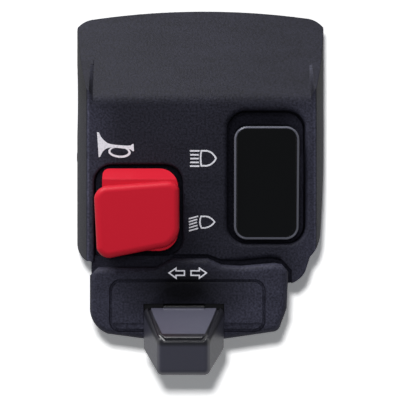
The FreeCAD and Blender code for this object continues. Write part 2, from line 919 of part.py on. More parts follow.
node("rear_housing", rear)

# Clamp screws and their inserts


def socket_screw(x, z):
    """A clamp screw with a hexagon socket, driven in from the back."""
    head = rod("Y", x, s.screw_seat, z, s.screw_head_radius, s.screw_head_height)
    shank = rod("Y", x, -s.screw_reach, z, s.screw_radius, s.screw_seat + s.screw_reach)
    hexagon = doc.addObject("Part::Prism", "Hexagon")
    hexagon.Polygon = 6
    hexagon.setExpression("Circumradius", formula(s.screw_radius * 0.85))
    hexagon.setExpression("Height", formula(s.screw_head_height))
    place(hexagon, x, s.screw_seat + s.screw_head_height * 0.35, z, ALONG["Y"])
    return cut(fuse(head, shank), hexagon)


def threaded_insert(x, z):
    """A brass insert for a clamp screw, with a knurl reduced to one waist."""
    length = s.insert_front - s.insert_back
    sleeve = rod("Y", x, -s.insert_front, z, s.insert_radius, length)
    waist = cut(
        rod("Y", x, -s.insert_front + length * 0.4, z, s.insert_radius + 1, length * 0.2),
        rod("Y", x, -s.insert_front + length * 0.4, z, s.insert_radius * 0.9, length * 0.2),
    )
    thread = rod("Y", x, -s.insert_front, z, s.screw_radius + s.thread_gap, length)
    return cut(sleeve, waist, thread)


screw_places = [(s.clamp_x, s.clamp_above), (s.clamp_x, s.clamp_below)]
node("clamp_screws", group(*(socket_screw(x, z) for x, z in screw_places)))
node("screw_inserts", group(*(threaded_insert(x, z) for x, z in screw_places)))

# Dimmer switch: cradle, pin, rocker, plunger, see-saw and terminals

cradle_back = s.chamber_front - s.cradle_thick
plate = box(
    s.rocker_x - s.cradle_half_width,
    s.rocker_x + s.cradle_half_width,
    -s.chamber_front,
    -cradle_back,
    s.rocker_z - s.cradle_half_length,
    s.rocker_z + s.cradle_half_length,
)
ears = []
for side in (1, -1):
    near = s.rocker_x + (s.hub_half_width + s.fork_gap) * side
    left = near if side > 0 else near - s.fork_thick
    ear = box(
        left,
        left + s.fork_thick,
        -s.pivot_depth,
        -s.chamber_front + 0.2,
        s.rocker_z - s.fork_half_height,
        s.rocker_z + s.fork_half_height,
    )
    ears.append(ear)
    ears.append(rod("X", left, -s.pivot_depth, s.rocker_z, s.fork_half_height, s.fork_thick))
tube_window = box(
    s.rocker_x - s.hub_half_width,
    s.rocker_x + s.hub_half_width,
    -s.chamber_front - 1,
    -cradle_back + 1,
    s.rocker_z - s.cradle_window,
    s.rocker_z + s.cradle_window,
)
pin_left = s.rocker_x - s.hub_half_width - s.fork_gap - s.fork_thick
pin_length = (s.hub_half_width + s.fork_gap + s.fork_thick) * 2
pin_way = rod("X", pin_left - 1, -s.pivot_depth, s.rocker_z, s.pin_radius + s.thread_gap, pin_length + 2)
node("dimmer_cradle", cut(fuse(plate, *ears), tube_window, pin_way))
node("dimmer_pin", rod("X", pin_left, -s.pivot_depth, s.rocker_z, s.pin_radius, pin_length))


def tilt(made, y, angle):
    """Turns a shape drawn about the origin by angle about X and sets it on the rocker's middle."""
    return place(made, s.rocker_x, y, s.rocker_z, ((1, 0, 0), angle))


rocker = body("dimmer_rocker")
cap = rectangle(
    sketch(rocker, "XZ_Plane", s.rocker_front - s.rocker_skirt),
    -s.rocker_half_width, s.rocker_half_width,
    -s.rocker_half_length, s.rocker_half_length, s.rocker_corner,
)
pad(rocker, cap, s.rocker_skirt)
fillet(
    rocker,
    s.rocker_round,
    lambda e: abs(e.CenterOfMass.y + SIZES["rocker_front"]) < 0.01,
)
dish = circle(
    sketch(rocker, "YZ_Plane"),
    -s.rocker_front - s.rocker_dish + s.rocker_dish_depth, zero, s.rocker_dish,
)
pocket(rocker, dish, (s.rocker_half_width - s.rocker_rim) * 2, both=True)
inner_half = s.rocker_half_width - s.rocker_wall
inner_length = s.rocker_half_length - s.rocker_wall
hollow = rectangle(
    sketch(rocker, "XZ_Plane", s.rocker_front - s.rocker_skirt),
    -inner_half, inner_half, -inner_length, inner_length, s.rocker_corner - s.rocker_wall,
)
pocket(rocker, hollow, s.rocker_skirt - s.rocker_dish_depth - s.rocker_wall, reverse=True)
web = rectangle(
    sketch(rocker, "XZ_Plane", zero),
    -s.hub_half_width, s.hub_half_width, -s.hub_radius, s.hub_radius,
)
pad(rocker, web, s.rocker_front - s.rocker_dish_depth - 1)
pad(
    rocker,
    circle(sketch(rocker, "YZ_Plane"), zero, zero, s.hub_radius),
    s.hub_half_width * 2,
    both=True,
)
tube = circle(sketch(rocker, "XZ_Plane", -s.tube_reach), zero, zero, s.tube_radius)
pad(rocker, tube, s.tube_reach)
tube_bore = sketch(rocker, "XZ_Plane", -s.tube_reach)
circle(tube_bore, zero, zero, s.plunger_radius + s.plunger_gap)
pocket(rocker, tube_bore, s.tube_reach - s.pin_radius - 0.5, reverse=True)
pin_bore = circle(sketch(rocker, "YZ_Plane"), zero, zero, s.pin_radius + s.pin_gap)
pocket(rocker, pin_bore, None, both=True)
tilt(rocker, -s.pivot_depth, s.rocker_tilt)
node("dimmer_rocker", rocker)

plunger_round = s.plunger_reach - s.plunger_radius
plunger_start = s.plunger_reach - s.plunger_length
plunger = fuse(
    rod("Y", zero, plunger_start, zero, s.plunger_radius, plunger_round - plunger_start),
    ball(zero, plunger_round, zero, s.plunger_radius),
)
node("dimmer_plunger", tilt(plunger, -s.pivot_depth, s.rocker_tilt))


def coil(length, radius, wire, turns):
    """A round-wire spring drawn along +Z from the origin, its ends just inside 0 and length."""
    spine = doc.addObject("Part::Helix", "Spine")
    spine.setExpression("Pitch", formula((length - wire * 2) / turns))
    spine.setExpression("Height", formula(length - wire * 2))
    spine.setExpression("Radius", formula(radius))
    section = doc.addObject("Part::Circle", "Wire")
    section.setExpression("Radius", formula(wire))
    place(section, radius, zero, zero, ((1, 0, 0), 90))
    made = doc.addObject("Part::Sweep", "Coil")
    made.Sections = [section]
    made.Spine = (spine, [])
    made.Solid = True
    made.Frenet = True
    return made


def coil_along_y(x, y, z, *shape):
    """A spring that starts at x, y, z and runs along +Y."""
    made = coil(*shape)
    return place(made, x, y + shape[2], z, ALONG["Y"])


spring_start = s.pin_radius + 0.5
inner_spring = group(
    coil_along_y(
        zero, spring_start, zero,
        plunger_start - spring_start, s.plunger_radius * 0.7, s.spring_wire * 0.7, 3,
    )
)
node("dimmer_spring", tilt(inner_spring, -s.pivot_depth, s.rocker_tilt))

beam = box(
    -s.seesaw_half_width,
    s.seesaw_half_width,
    -s.seesaw_thick / 2,
    s.seesaw_thick / 2,
    -s.seesaw_half_length,
    s.seesaw_half_length,
)
node("dimmer_seesaw", tilt(group(beam), -s.seesaw_depth, s.seesaw_tilt))

# Contact plate in the chamber, with the terminals pressed into it


def blade_across(x, z, tip, grow=zero):
    """A terminal blade lying flat, for the dimmer."""
    return box(
        x - s.blade_half_width - grow, x + s.blade_half_width + grow,
        -tip - grow, -s.blade_tail + grow,
        z - s.blade_half_thick - grow, z + s.blade_half_thick + grow,
    )


def blade_upright(x, z, tip, grow=zero):
    """A terminal blade standing on edge, for the horn."""
    return box(
        x - s.blade_half_thick - grow, x + s.blade_half_thick + grow,
        -tip - grow, -s.blade_tail + grow,
        z - s.blade_half_width - grow, z + s.blade_half_width + grow,
    )


horn_tip = s.bridge_front - s.bridge_thick - s.horn_travel - s.contact_gap
dimmer_blades = [
    (s.rocker_x, s.rocker_z, s.blade_centre_tip),
    (s.rocker_x, s.rocker_z + s.blade_spread, s.blade_side_tip),
    (s.rocker_x, s.rocker_z - s.blade_spread, s.blade_side_tip),
]
horn_blades = [
    (s.horn_x + s.horn_spread, s.horn_z, horn_tip),
    (s.horn_x - s.horn_spread, s.horn_z, horn_tip),
]
node("dimmer_terminals", group(*(blade_across(*b) for b in dimmer_blades)))
node("horn_terminals", group(*(blade_upright(*b) for b in horn_blades)))

plate_right = s.chamber_half_width - s.plate_gap
plate_back = s.plate_front - s.plate_thick
board = box(
    -plate_right, plate_right, -s.plate_front, -plate_back,
    s.chamber_bottom + s.plate_gap, s.chamber_top - s.plate_gap,
)
corner_cuts = []
for sx in (1, -1):
    for z in (s.chamber_bottom, s.chamber_top):
        x = s.chamber_half_width * sx
        corner_cuts.append(box(x - 1.4, x + 1.4, -s.plate_front - 1, -plate_back + 1, z - 1.4, z + 1.4))
plate_holes = [
    rod(
        "Y", s.clamp_x, -s.plate_front - 1, s.clamp_below,
        s.insert_boss + s.hole_gap * 2, s.plate_thick + 2,
    ),
    rod(
        "Y", -s.plate_screw_x, -s.plate_front - 1, s.plate_screw_high,
        s.small_screw_radius + s.plate_gap, s.plate_thick + 2,
    ),
    rod(
        "Y", s.plate_screw_x, -s.plate_front - 1, s.plate_screw_low,
        s.small_screw_radius + s.plate_gap, s.plate_thick + 2,
    ),
]
blade_gap = s.thread_gap * 1
blade_slots = [blade_across(*b, blade_gap) for b in dimmer_blades]
blade_slots += [blade_upright(*b, blade_gap) for b in horn_blades]
node("contact_plate", cut(board, *corner_cuts, *plate_holes, *blade_slots))


def small_screw(x, z, back, reach):
    """A round-head self-tapping screw with a slot, driven in from behind."""
    head = rod("Y", x, -back, z, s.small_head_radius, s.small_head_height)
    shank = rod("Y", x, -reach, z, s.small_screw_radius, reach - back)
    slot = box(
        x - s.small_head_radius - 1, x + s.small_head_radius + 1,
        -back + s.small_head_height * 0.5, -back + s.small_head_height * 2,
        z - 0.25, z + 0.25,
    )
    return cut(fuse(head, shank), slot)


screw_end = s.chamber_front - 1.6
node(
    "plate_screws",
    group(
        small_screw(-s.plate_screw_x, s.plate_screw_high, plate_back, screw_end),
        small_screw(s.plate_screw_x, s.plate_screw_low, plate_back, screw_end),
    ),
)

# Horn button, its bridge and its spring

horn = body("horn_button")
horn_top = s.horn_z + s.horn_half_height
block_left = s.horn_x - s.horn_half_width
block_right = s.horn_x + s.horn_half_width
block_low = s.horn_z - s.horn_half_height
r = s.horn_block_round
wide = s.horn_block_corner
block = outline(
    sketch(horn, "XZ_Plane", s.horn_back),
    [
        (block_left + r, block_low),
        (block_right - wide, block_low),
        (block_right, block_low + wide),
        (block_right, horn_top - wide),
        (block_right - wide, horn_top),
        (block_left + r, horn_top),
        (block_left, horn_top - r),
        (block_left, block_low + r),
    ],
    {1: wide, 3: wide, 5: r, 7: r},
)
pad(horn, block, s.horn_front - s.horn_back - s.horn_pad_thick * 0.6)
slope = [
    (-s.horn_slope_depth, horn_top),
    (-s.horn_front, horn_top - s.horn_slope_drop),
    (-s.horn_front, horn_top + 1),
    (-s.horn_slope_depth, horn_top + 1),
]
pocket(horn, outline(sketch(horn, "YZ_Plane"), slope), None, both=True)
press_corners = [
    (s.horn_pad_low_left, s.horn_pad_left_low),
    (s.horn_pad_right, s.horn_pad_right_low),
    (s.horn_pad_right, s.horn_pad_right_top),
    (s.horn_pad_left, s.horn_pad_left_top),
]
press_rounds = (s.pad_low_left, s.pad_low_right, s.pad_high_right, s.pad_high_left)
press_points = []
for i, (x, y) in enumerate(press_corners):
    share = press_rounds[i] / (s.horn_pad_right - s.horn_pad_left)
    for x2, y2 in (press_corners[i - 1], press_corners[(i + 1) % 4]):
        press_points.append((x + (x2 - x) * share, y + (y2 - y) * share))
press = outline(
    sketch(horn, "XZ_Plane", s.horn_front - s.horn_pad_thick),
    press_points,
    {i * 2: round_ for i, round_ in enumerate(press_rounds)},
)
pad(horn, press, s.horn_pad_thick)
fillet(horn, s.horn_pad_round, lambda e: e.BoundBox.YMax < -SIZES["horn_front"] + 0.01)
horn_hollow = rectangle(
    sketch(horn, "XZ_Plane", s.horn_back),
    s.horn_x - s.horn_half_width + s.horn_wall,
    s.horn_x + s.horn_half_width - s.horn_wall,
    s.horn_z - s.horn_half_height + s.horn_wall,
    horn_top - s.horn_slope_drop - s.horn_wall,
    s.horn_wall,
)
pocket(horn, horn_hollow, s.horn_front - s.horn_back - s.horn_wall * 1.5, reverse=True)
sleeve = circle(sketch(horn, "XZ_Plane", s.stem_seat), s.horn_x, s.horn_z, s.stem_seat_radius)
pad(horn, sleeve, s.horn_front - s.stem_seat - s.horn_wall)
bridge_back = s.bridge_front - s.bridge_thick
stem = circle(sketch(horn, "XZ_Plane", bridge_back), s.horn_x, s.horn_z, s.stem_radius)
pad(horn, stem, s.horn_front - bridge_back - s.horn_wall)
rivet = sketch(horn, "XZ_Plane", bridge_back - s.rivet_height)
circle(rivet, s.horn_x, s.horn_z, s.rivet_radius)
pad(horn, rivet, s.rivet_height)
node("horn_button", horn)

bridge = box(
    s.horn_x - s.bridge_half, s.horn_x + s.bridge_half, -s.bridge_front, -bridge_back,
    s.horn_z - s.bridge_half_height, s.horn_z + s.bridge_half_height,
)
stem_way = rod(
    "Y", s.horn_x, -s.bridge_front - 1, s.horn_z, s.stem_radius + s.thread_gap, s.bridge_thick + 2
)
node("horn_contact", cut(bridge, stem_way))
horn_spring = coil_along_y(
    s.horn_x, -s.stem_seat, s.horn_z,
    s.stem_seat - s.horn_floor, s.horn_spring_radius, s.spring_wire, 3,
)
node("horn_spring", group(horn_spring))

# Turn-signal switch: bezel, shutter, carriage, knob, contacts and cover

bezel = body("bezel_plate")
seat_depth = s.nose_front - s.aperture_depth
pad(bezel, aperture(bezel, seat_depth, s.bezel_gap), s.bezel_flange)
pad(bezel, aperture(bezel, seat_depth, s.bezel_reveal), s.aperture_depth)
strip = rectangle(
    sketch(bezel, "XZ_Plane", s.nose_front + 1),
    s.aperture_x - s.aperture_half_width,
    s.aperture_x + s.aperture_half_width,
    s.aperture_bottom,
    s.strip_top,
)
pocket(bezel, strip, s.strip_depth + 1)
slot = rectangle(
    sketch(bezel, "XZ_Plane", s.nose_front + 1),
    s.slot_x - s.slot_half_width, s.slot_x + s.slot_half_width, s.slot_bottom, s.slot_top,
)
pocket(bezel, slot, s.aperture_depth + 2)

# the hollow above the slot: a wide cylinder that leans into the plate towards the slot
tilt = math.radians(SIZES["scoop_tilt"])
scoop_end = s.slot_top - s.scoop_low - s.scoop_radius * math.sin(tilt)
scoop_depth = s.nose_front + s.scoop_radius / math.cos(tilt) - (s.scoop_top - scoop_end) * math.tan(tilt)
scoop = rod("Z", s.slot_x, -scoop_depth, scoop_end, s.scoop_radius, s.scoop_radius)
scoop.Placement.Rotation = FreeCAD.Rotation(FreeCAD.Vector(1, 0, 0), SIZES["scoop_tilt"])
node("turn_bezel", cut(bezel, scoop))

slide_low = s.cavity_bottom + s.slide_gap
slide_high = s.cavity_top - s.slide_gap
shutter_back = s.shutter_front - s.shutter_thick
neck_left = s.slot_x - s.neck_half_width
neck_right = s.slot_x + s.neck_half_width
neck_low = s.neck_z - s.neck_half_height
neck_high = s.neck_z + s.neck_half_height


def slide_box(half_width, y0, y1, corner):
    """A block as tall as the slide, with its lower corners cut for the cavity's round corners."""
    made = box(s.slot_x - half_width, s.slot_x + half_width, y0, y1, slide_low, slide_high)
    if not corner:
        return made
    notches = [
        box(
            s.slot_x + half_width * side - s.cavity_corner,
            s.slot_x + half_width * side + s.cavity_corner,
            y0 - 1, y1 + 1, z - s.cavity_corner, z + s.cavity_corner,
        )
        for side in (1, -1)
        for z in (slide_low, slide_high)
    ]
    return cut(made, *notches)


shutter = body("turn_shutter")
shutter_outline = rectangle(
    sketch(shutter, "XZ_Plane", shutter_back),
    s.slot_x - s.shutter_half_width, s.slot_x + s.shutter_half_width,
    slide_low, slide_high, s.cavity_corner,
)
pad(shutter, shutter_outline, s.shutter_thick)
neck_way = rectangle(
    sketch(shutter, "XZ_Plane", shutter_back - 1),
    neck_left - s.neck_gap / 2, neck_right + s.neck_gap / 2,
    neck_low - s.neck_gap / 2, neck_high + s.neck_gap / 2,
)
pocket(shutter, neck_way, s.shutter_thick + 2, reverse=True)
node("turn_shutter", shutter)

socket_half = s.neck_half_width + s.neck_flange + s.neck_gap / 2
socket = box(
    s.slot_x - socket_half, s.slot_x + socket_half, -shutter_back - 1, -s.socket_end,
    neck_low - s.neck_gap / 2, neck_high + s.neck_gap / 2,
)
ball_seat = s.socket_end + 0.6
ball_bore = rod(
    "Y", s.slot_x, -ball_seat, s.track_z, s.ball_radius + s.ball_gap, ball_seat - s.carriage_back + 1
)
carriage = slide_box(s.carriage_half_width, -shutter_back, -s.carriage_back, False)
node("turn_carriage", cut(carriage, socket, ball_bore))

knob = body("knob_body")


def knob_section(depth, half, low, high, shift=zero):
    """A cross-section of the knob at one depth."""
    return rectangle(sketch(knob, "XZ_Plane", depth), s.slot_x - half, s.slot_x + half, low, high + shift)


root = knob_section(s.knob_back, s.knob_half_width, s.knob_low, s.knob_top)
tip = knob_section(s.knob_front, s.knob_tip_half_width, s.knob_tip_low, s.knob_tip_top)
loft = knob.newObject("PartDesign::AdditiveLoft", "Loft")
loft.Profile = root
loft.Sections = [tip]
loft.Ruled = True
root.Visibility = tip.Visibility = False
doc.recompute()
fillet(knob, s.knob_round, lambda e: e.BoundBox.YMin < -SIZES["knob_back"] - 0.5)
neck = rectangle(sketch(knob, "XZ_Plane", s.neck_end), neck_left, neck_right, neck_low, neck_high)
pad(knob, neck, s.knob_back - s.neck_end + 0.5)
flange = rectangle(
    sketch(knob, "XZ_Plane", s.neck_end),
    neck_left - s.neck_flange, neck_right + s.neck_flange, neck_low, neck_high,
)
pad(knob, flange, shutter_back - s.neck_end - s.contact_gap)

# the groove round the three free sides of the thumb pad
narrowing = (s.knob_half_width - s.knob_tip_half_width) / (s.knob_front - s.knob_back)
fall = (s.knob_top - s.knob_tip_top) / (s.knob_front - s.knob_back)
groove_back = s.knob_back - s.knob_groove
groove_turn = s.knob_front - s.knob_groove_turn
wide_half = s.knob_half_width - s.knob_groove_edge
narrow_half = wide_half - narrowing * (groove_turn - s.knob_back) * 0.8
front_half = s.knob_tip_half_width - s.knob_groove_edge * 1.2
half_path = [
    (wide_half, -groove_back, s.knob_top + fall * s.knob_groove),
    (narrow_half, -groove_turn, s.knob_top - fall * (groove_turn - s.knob_back)),
    (front_half, s.knob_groove / 4 - s.knob_front, s.knob_tip_top - s.knob_groove),
]
path = [(s.slot_x - x, y, z) for x, y, z in half_path]
path += [(s.slot_x + x, y, z) for x, y, z in half_path[::-1]]
grooves = [rod_between(a, b, s.knob_groove) for a, b in zip(path, path[1:])]
turns = [ball(x, y, z, s.knob_groove) for x, y, z in path[1:-1]]
node("turn_knob", cut(knob, *grooves, *turns))

cancel_spring = coil_along_y(
    s.slot_x, -s.neck_end, s.neck_z,
    s.neck_end - s.socket_end, s.neck_half_height * 0.7, s.spring_wire * 0.8, 3,
)
node("cancel_spring", group(cancel_spring))

ball_depth = s.carriage_back - s.ball_proud + s.ball_radius
node("detent_ball", ball(s.slot_x, -ball_depth, s.track_z, s.ball_radius))
detent_length = ball_seat - ball_depth - s.ball_radius * 0.9
detent_spring = coil_along_y(
    s.slot_x, -ball_seat, s.track_z, detent_length, s.ball_radius * 0.7, s.spring_wire * 0.7, 3
)
node("detent_spring", group(detent_spring))

board_back = s.board_front - s.board_thick
turn_plate = slide_box(s.cavity_half_width - s.slide_gap, -s.board_front, -board_back, True)
track = box(
    s.slot_x - s.carriage_half_width, s.slot_x + s.carriage_half_width,
    -s.track_front, -s.board_front + 0.2, s.track_z - s.track_half, s.track_z + s.track_half,
)
groove_radius = s.ball_radius + s.ball_gap
track_cuts = [
    rod(
        "X", s.slot_x - s.carriage_half_width - 1, -ball_depth, s.track_z,
        groove_radius, s.carriage_half_width * 2 + 2,
    )
]
for step in (-1, 0, 1):
    track_cuts.append(
        ball(s.slot_x + s.turn_travel * step, -ball_depth + 0.3, s.track_z, groove_radius)
    )
stud_x = [s.slot_x + (s.turn_travel * 2 - s.stud_radius + 0.1) * step for step in (-1, 0, 1)]
stud_holes = [
    rod("Y", x, -s.board_front - 1, s.neck_z, s.stud_radius + s.thread_gap, s.board_thick + 2)
    for x in stud_x
]
node("turn_board", cut(fuse(turn_plate, track), *track_cuts, *stud_holes))
stud_front = s.board_front + 0.2
node(
    "turn_studs",
    group(
        *(rod("Y", x, -stud_front, s.neck_z, s.stud_radius, stud_front - board_back + 1) for x in stud_x)
    ),
)
wiper_reach = s.turn_travel - s.stud_radius + 0.1
bump = s.carriage_back - s.wiper_thick - stud_front - 0.05
wiper_half = s.track_half - 0.9
wiper_low = s.neck_z - wiper_half
wiper_bar = box(
    s.slot_x - wiper_reach - 1, s.slot_x + wiper_reach + 1,
    -s.carriage_back, -s.carriage_back + s.wiper_thick, wiper_low, s.neck_z + wiper_half,
)
wiper_feet = [
    rod(
        "Z", s.slot_x + wiper_reach * side, -s.carriage_back + s.wiper_thick, wiper_low,
        bump, wiper_half * 2,
    )
    for side in (1, -1)
]
wiper = cut(
    fuse(wiper_bar, *wiper_feet),
    slide_box(s.carriage_half_width, -s.carriage_back - 2, -s.carriage_back, False),
)
node("turn_wiper", wiper)

cover = body("nose_cover")
cover_edge = s.cover_ledge - s.plate_gap / 4
lid = rectangle(
    sketch(cover, "XZ_Plane", s.nose_back),
    cavity_left - cover_edge, cavity_right + cover_edge,
    s.cavity_bottom - cover_edge, s.cavity_top + cover_edge,
    s.cavity_corner + cover_edge,
)
pad(cover, lid, s.cover_thick - s.plate_gap / 4)
wire_window = rectangle(
    sketch(cover, "XZ_Plane", s.nose_back - 1),
    s.slot_x - s.carriage_half_width - 1, s.slot_x + s.carriage_half_width + 1,
    s.neck_z - 2, s.neck_z + 2, s.plate_gap * 5,
)
pocket(cover, wire_window, s.cover_thick + 2, reverse=True)
node("nose_cover", cover)

# Passing-light trigger

trigger = body("flash_trigger")
lever = [
    (s.trigger_tip, s.trigger_inner - 0.2),
    (s.trigger_tip + 3, s.trigger_inner - 0.2),
    (s.trigger_tip + 4.5, s.trigger_inner),
    (s.trigger_end - 1.6, s.trigger_inner),
    (s.trigger_end, s.trigger_inner + 1.6),
    (s.trigger_end, s.trigger_outer - 1.6),
    (s.trigger_end - 1.6, s.trigger_outer),
    (s.trigger_tip + 7, s.trigger_outer),
    (s.trigger_tip + 3, s.trigger_outer + 1.2),
    (s.trigger_tip, s.trigger_outer + 1.2),
]
lever_sketch = outline(
    sketch(trigger, "XY_Plane", s.trigger_z),
    lever,
    {3: s.trigger_bore * 0.9, 5: s.trigger_bore * 0.9},
)
pad(trigger, lever_sketch, s.trigger_half_height * 2, both=True)
fillet(trigger, s.well_lip * 2, lambda e: abs(e.CenterOfMass.x - SIZES["trigger_tip"]) < 0.1)
spring_bore = sketch(trigger, "XZ_Plane", -s.trigger_seat)
circle(spring_bore, s.trigger_leg_x, s.trigger_z, s.trigger_bore)
pocket(trigger, spring_bore, s.trigger_seat - s.trigger_inner + 1, reverse=True)
leg = sketch(trigger, "XZ_Plane", -s.trigger_seat - 0.5)
circle(leg, s.trigger_leg_x, s.trigger_z, s.trigger_leg)
pad(trigger, leg, s.trigger_seat + 0.5 - s.trigger_leg_end)
trigger_pin_hole = sketch(trigger, "XY_Plane", s.trigger_z)
circle(trigger_pin_hole, s.trigger_pivot_x, s.trigger_pivot_y, s.trigger_pin + s.pin_gap)
pocket(trigger, trigger_pin_hole, None, both=True)
node("flash_trigger", trigger)
node(
    "flash_pin",
    rod(
        "Z", s.trigger_pivot_x, s.trigger_pivot_y, s.trigger_z - s.trigger_half_height * 1.6,
        s.trigger_pin, s.trigger_half_height * 3.2,
    ),
)
flash_spring = coil_along_y(
    s.trigger_leg_x, s.trigger_floor, s.trigger_z,
    s.trigger_seat - s.trigger_floor, s.trigger_bore * 0.75, s.spring_wire * 0.7, 3,
)
node("flash_spring", group(flash_spring))
leaf = box(
    s.trigger_leg_x - s.leaf_half + s.thread_gap, s.trigger_leg_x + s.leaf_half - s.thread_gap,
    s.leaf_back - s.leaf_thick, s.leaf_back, s.trigger_z - 1, s.trigger_z + 1,
)
node("flash_leaf", group(leaf))

# Grommet in the cable outlet

lip_radius = s.outlet_radius + s.grommet_lip
outer_lip = s.skirt_bottom - s.grommet_lip_thick
tail = doc.addObject("Part::Cone", "Tail")
tail.setExpression("Radius1", formula(s.cable_radius + 0.6))
tail.setExpression("Radius2", formula(s.outlet_radius))
tail.setExpression("Height", formula(s.grommet_tail))
place(tail, s.outlet_x, s.outlet_y, outer_lip - s.grommet_tail)
grommet = fuse(
    rod(
        "Z", s.outlet_x, s.outlet_y, s.skirt_bottom,
        s.outlet_radius - s.thread_gap, s.chamber_bottom - s.skirt_bottom,
    ),
    rod("Z", s.outlet_x, s.outlet_y, s.chamber_bottom, lip_radius, s.grommet_lip_thick),
    rod("Z", s.outlet_x, s.outlet_y, outer_lip, lip_radius, s.grommet_lip_thick),
    tail,
)
cable_low = outer_lip - s.grommet_tail - 1
cable_way = rod("Z", s.outlet_x, s.outlet_y, cable_low, s.cable_radius, s.chamber_half_width)
node("cable_grommet", cut(grommet, cable_way))

# Check every object, then write the parts

doc.recompute()
for made in doc.Objects:
    if any(word in made.State for word in ("Invalid", "Error")):
        raise RuntimeError(f"{made.Name} ({made.Label}) did not recompute: {made.State}")
for name, made in NODES.items():
    if made.Shape.isNull() or not made.Shape.isValid() or not made.Shape.Solids:
        raise RuntimeError(f"{name} has no valid solid")
os.makedirs("parts", exist_ok=True)
for name, made in NODES.items():
    made.Shape.exportStep(f"parts/{name}.step")
    print(f"{name}: {len(made.Shape.Solids)} solid, {made.Shape.Volume:.1f} mm3")
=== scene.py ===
"""Looks for a left handlebar switch cluster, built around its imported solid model.

The rider looks along +Y, so the switch face looks towards -Y. +Z is up and the handlebar runs
along X. Lengths are metres unless their name says otherwise.
"""

import json

import bmesh
import bpy
import numpy as np
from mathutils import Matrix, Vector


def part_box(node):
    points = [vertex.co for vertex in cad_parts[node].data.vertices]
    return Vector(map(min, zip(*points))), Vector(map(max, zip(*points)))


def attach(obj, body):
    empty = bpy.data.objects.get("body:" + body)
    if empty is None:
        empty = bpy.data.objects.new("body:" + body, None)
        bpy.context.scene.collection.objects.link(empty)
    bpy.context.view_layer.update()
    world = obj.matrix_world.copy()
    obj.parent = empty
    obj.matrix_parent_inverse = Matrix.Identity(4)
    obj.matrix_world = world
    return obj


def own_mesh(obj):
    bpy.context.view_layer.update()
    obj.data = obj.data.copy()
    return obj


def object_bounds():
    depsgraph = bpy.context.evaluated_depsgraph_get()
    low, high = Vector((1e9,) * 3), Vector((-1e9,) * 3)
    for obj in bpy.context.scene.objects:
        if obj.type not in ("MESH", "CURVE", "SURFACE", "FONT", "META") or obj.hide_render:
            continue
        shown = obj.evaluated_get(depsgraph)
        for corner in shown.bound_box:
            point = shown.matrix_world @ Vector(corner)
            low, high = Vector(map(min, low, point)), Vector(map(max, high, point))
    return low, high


bl_info = {
    "name": "Handlebar Switch Cluster",
    "version": (1, 0, 0),
    "blender": (4, 5, 0),
    "location": "View3D > Sidebar > Switch Cluster",
    "description": "Finishes, printed symbols, camera and lights for a handlebar switch cluster",
    "category": "Object",
}

MM = 0.001
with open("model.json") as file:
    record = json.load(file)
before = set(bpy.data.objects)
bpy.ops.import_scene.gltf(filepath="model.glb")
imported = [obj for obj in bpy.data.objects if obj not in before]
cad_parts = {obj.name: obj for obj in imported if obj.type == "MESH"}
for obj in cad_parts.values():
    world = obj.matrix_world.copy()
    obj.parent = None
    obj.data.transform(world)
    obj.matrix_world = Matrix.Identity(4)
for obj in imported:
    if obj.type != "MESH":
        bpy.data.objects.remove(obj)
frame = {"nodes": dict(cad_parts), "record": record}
CAD_BOX = [[float(v) for v in corner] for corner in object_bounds()]
# the planes of the switch face and of the cover plate in the nose
FACE_Y = -0.026
NOSE_Y = float(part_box("turn_bezel")[0][1])
# width and height of the picture in which the places of the symbols are given
PICTURE = 400
# painted light on the face: |x| between which its sides turn pale and how pale, |x| between which
# its outermost edge counts as well, and z between which all this sets in below the slope
FACE_SIDES = (18 * MM, 26.5 * MM)
FACE_PALEST = 2.1
FACE_EDGE = (26.0 * MM, 26.3 * MM)
FACE_TOP = (1 * MM, -4 * MM)
# painted highlight and painted shade on that edge against |x| of its normal, from the face round to
# the wall, and the shade that leaves it unchanged
EDGE_SHADES = ((0.12, 0.4), (0.3, 0.75), (0.6, 0.6), (0.85, 0.16))
EDGE_UNCHANGED = 0.4
# painted shade and painted light on the nose: how far in front of the face it begins, x and z of
# the knob's slot, half the patch of painted shade round it, between how many such halves it fades,
# and its darkest and palest
NOSE_AHEAD = (1 * MM, 2 * MM)
SLOT = (-4.05 * MM, -45.9 * MM)
SLOT_HALF = (10.7 * MM, 6.4 * MM)
NOSE_FADE = (0.35, 1.7)
NOSE_SHADES = (0.2, 2.2)
# smudges: their height, what a length along X counts for, and their darkest and palest
SMUDGE_HEIGHT = 5 * MM
SMUDGE_STRETCH = 0.3
SMUDGE_SHADES = (0.85, 1.15)
# x and z of the rocker's face, its half width and half height, its corner and the width of the
# painted highlight along its rim
ROCKER = (15.9 * MM, -20.9 * MM)
ROCKER_HALF = (7.8 * MM, 13.57 * MM)
ROCKER_CORNER = 3.2 * MM
ROCKER_HIGHLIGHT = 0.7 * MM
# the knob's middle, y and z of its top edge at the neck, and which way its top faces; then its
# thumb rest: half its width at the neck, how its sides close in per length, and y where it ends
KNOB_X = float(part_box("turn_knob")[0][0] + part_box("turn_knob")[1][0]) / 2
KNOB_NECK = -31.7 * MM
KNOB_NECK_TOP = -50.6 * MM
KNOB_TOP_NORMAL = (0.0, -0.45, 0.893)
KNOB_PAD_HALF = 7.8 * MM
KNOB_TAPER = 0.288
KNOB_PAD_FRONT = -42.2 * MM
# distances from those limits between which the painted shade of the rolled edge gives way to the
# sides, the painted light of the thumb rest to the rolled edge, the head to the painted shade of
# the neck, and the top to the painted shade on what stands above it
KNOB_FRAME_FADE = (1.9 * MM, 1.3 * MM)
KNOB_PAD_FADE = (0.35 * MM, 0.1 * MM)
KNOB_NECK_FADE = 0.3 * MM
KNOB_ABOVE_FADE = (-0.2 * MM, -0.4 * MM)
# length and thickness of the fibres in the boards, and patches in the ink
FIBRE_LENGTH = 1.2 * MM
FIBRE_THICKNESS = 0.2 * MM
INK_PATCH = 0.5 * MM
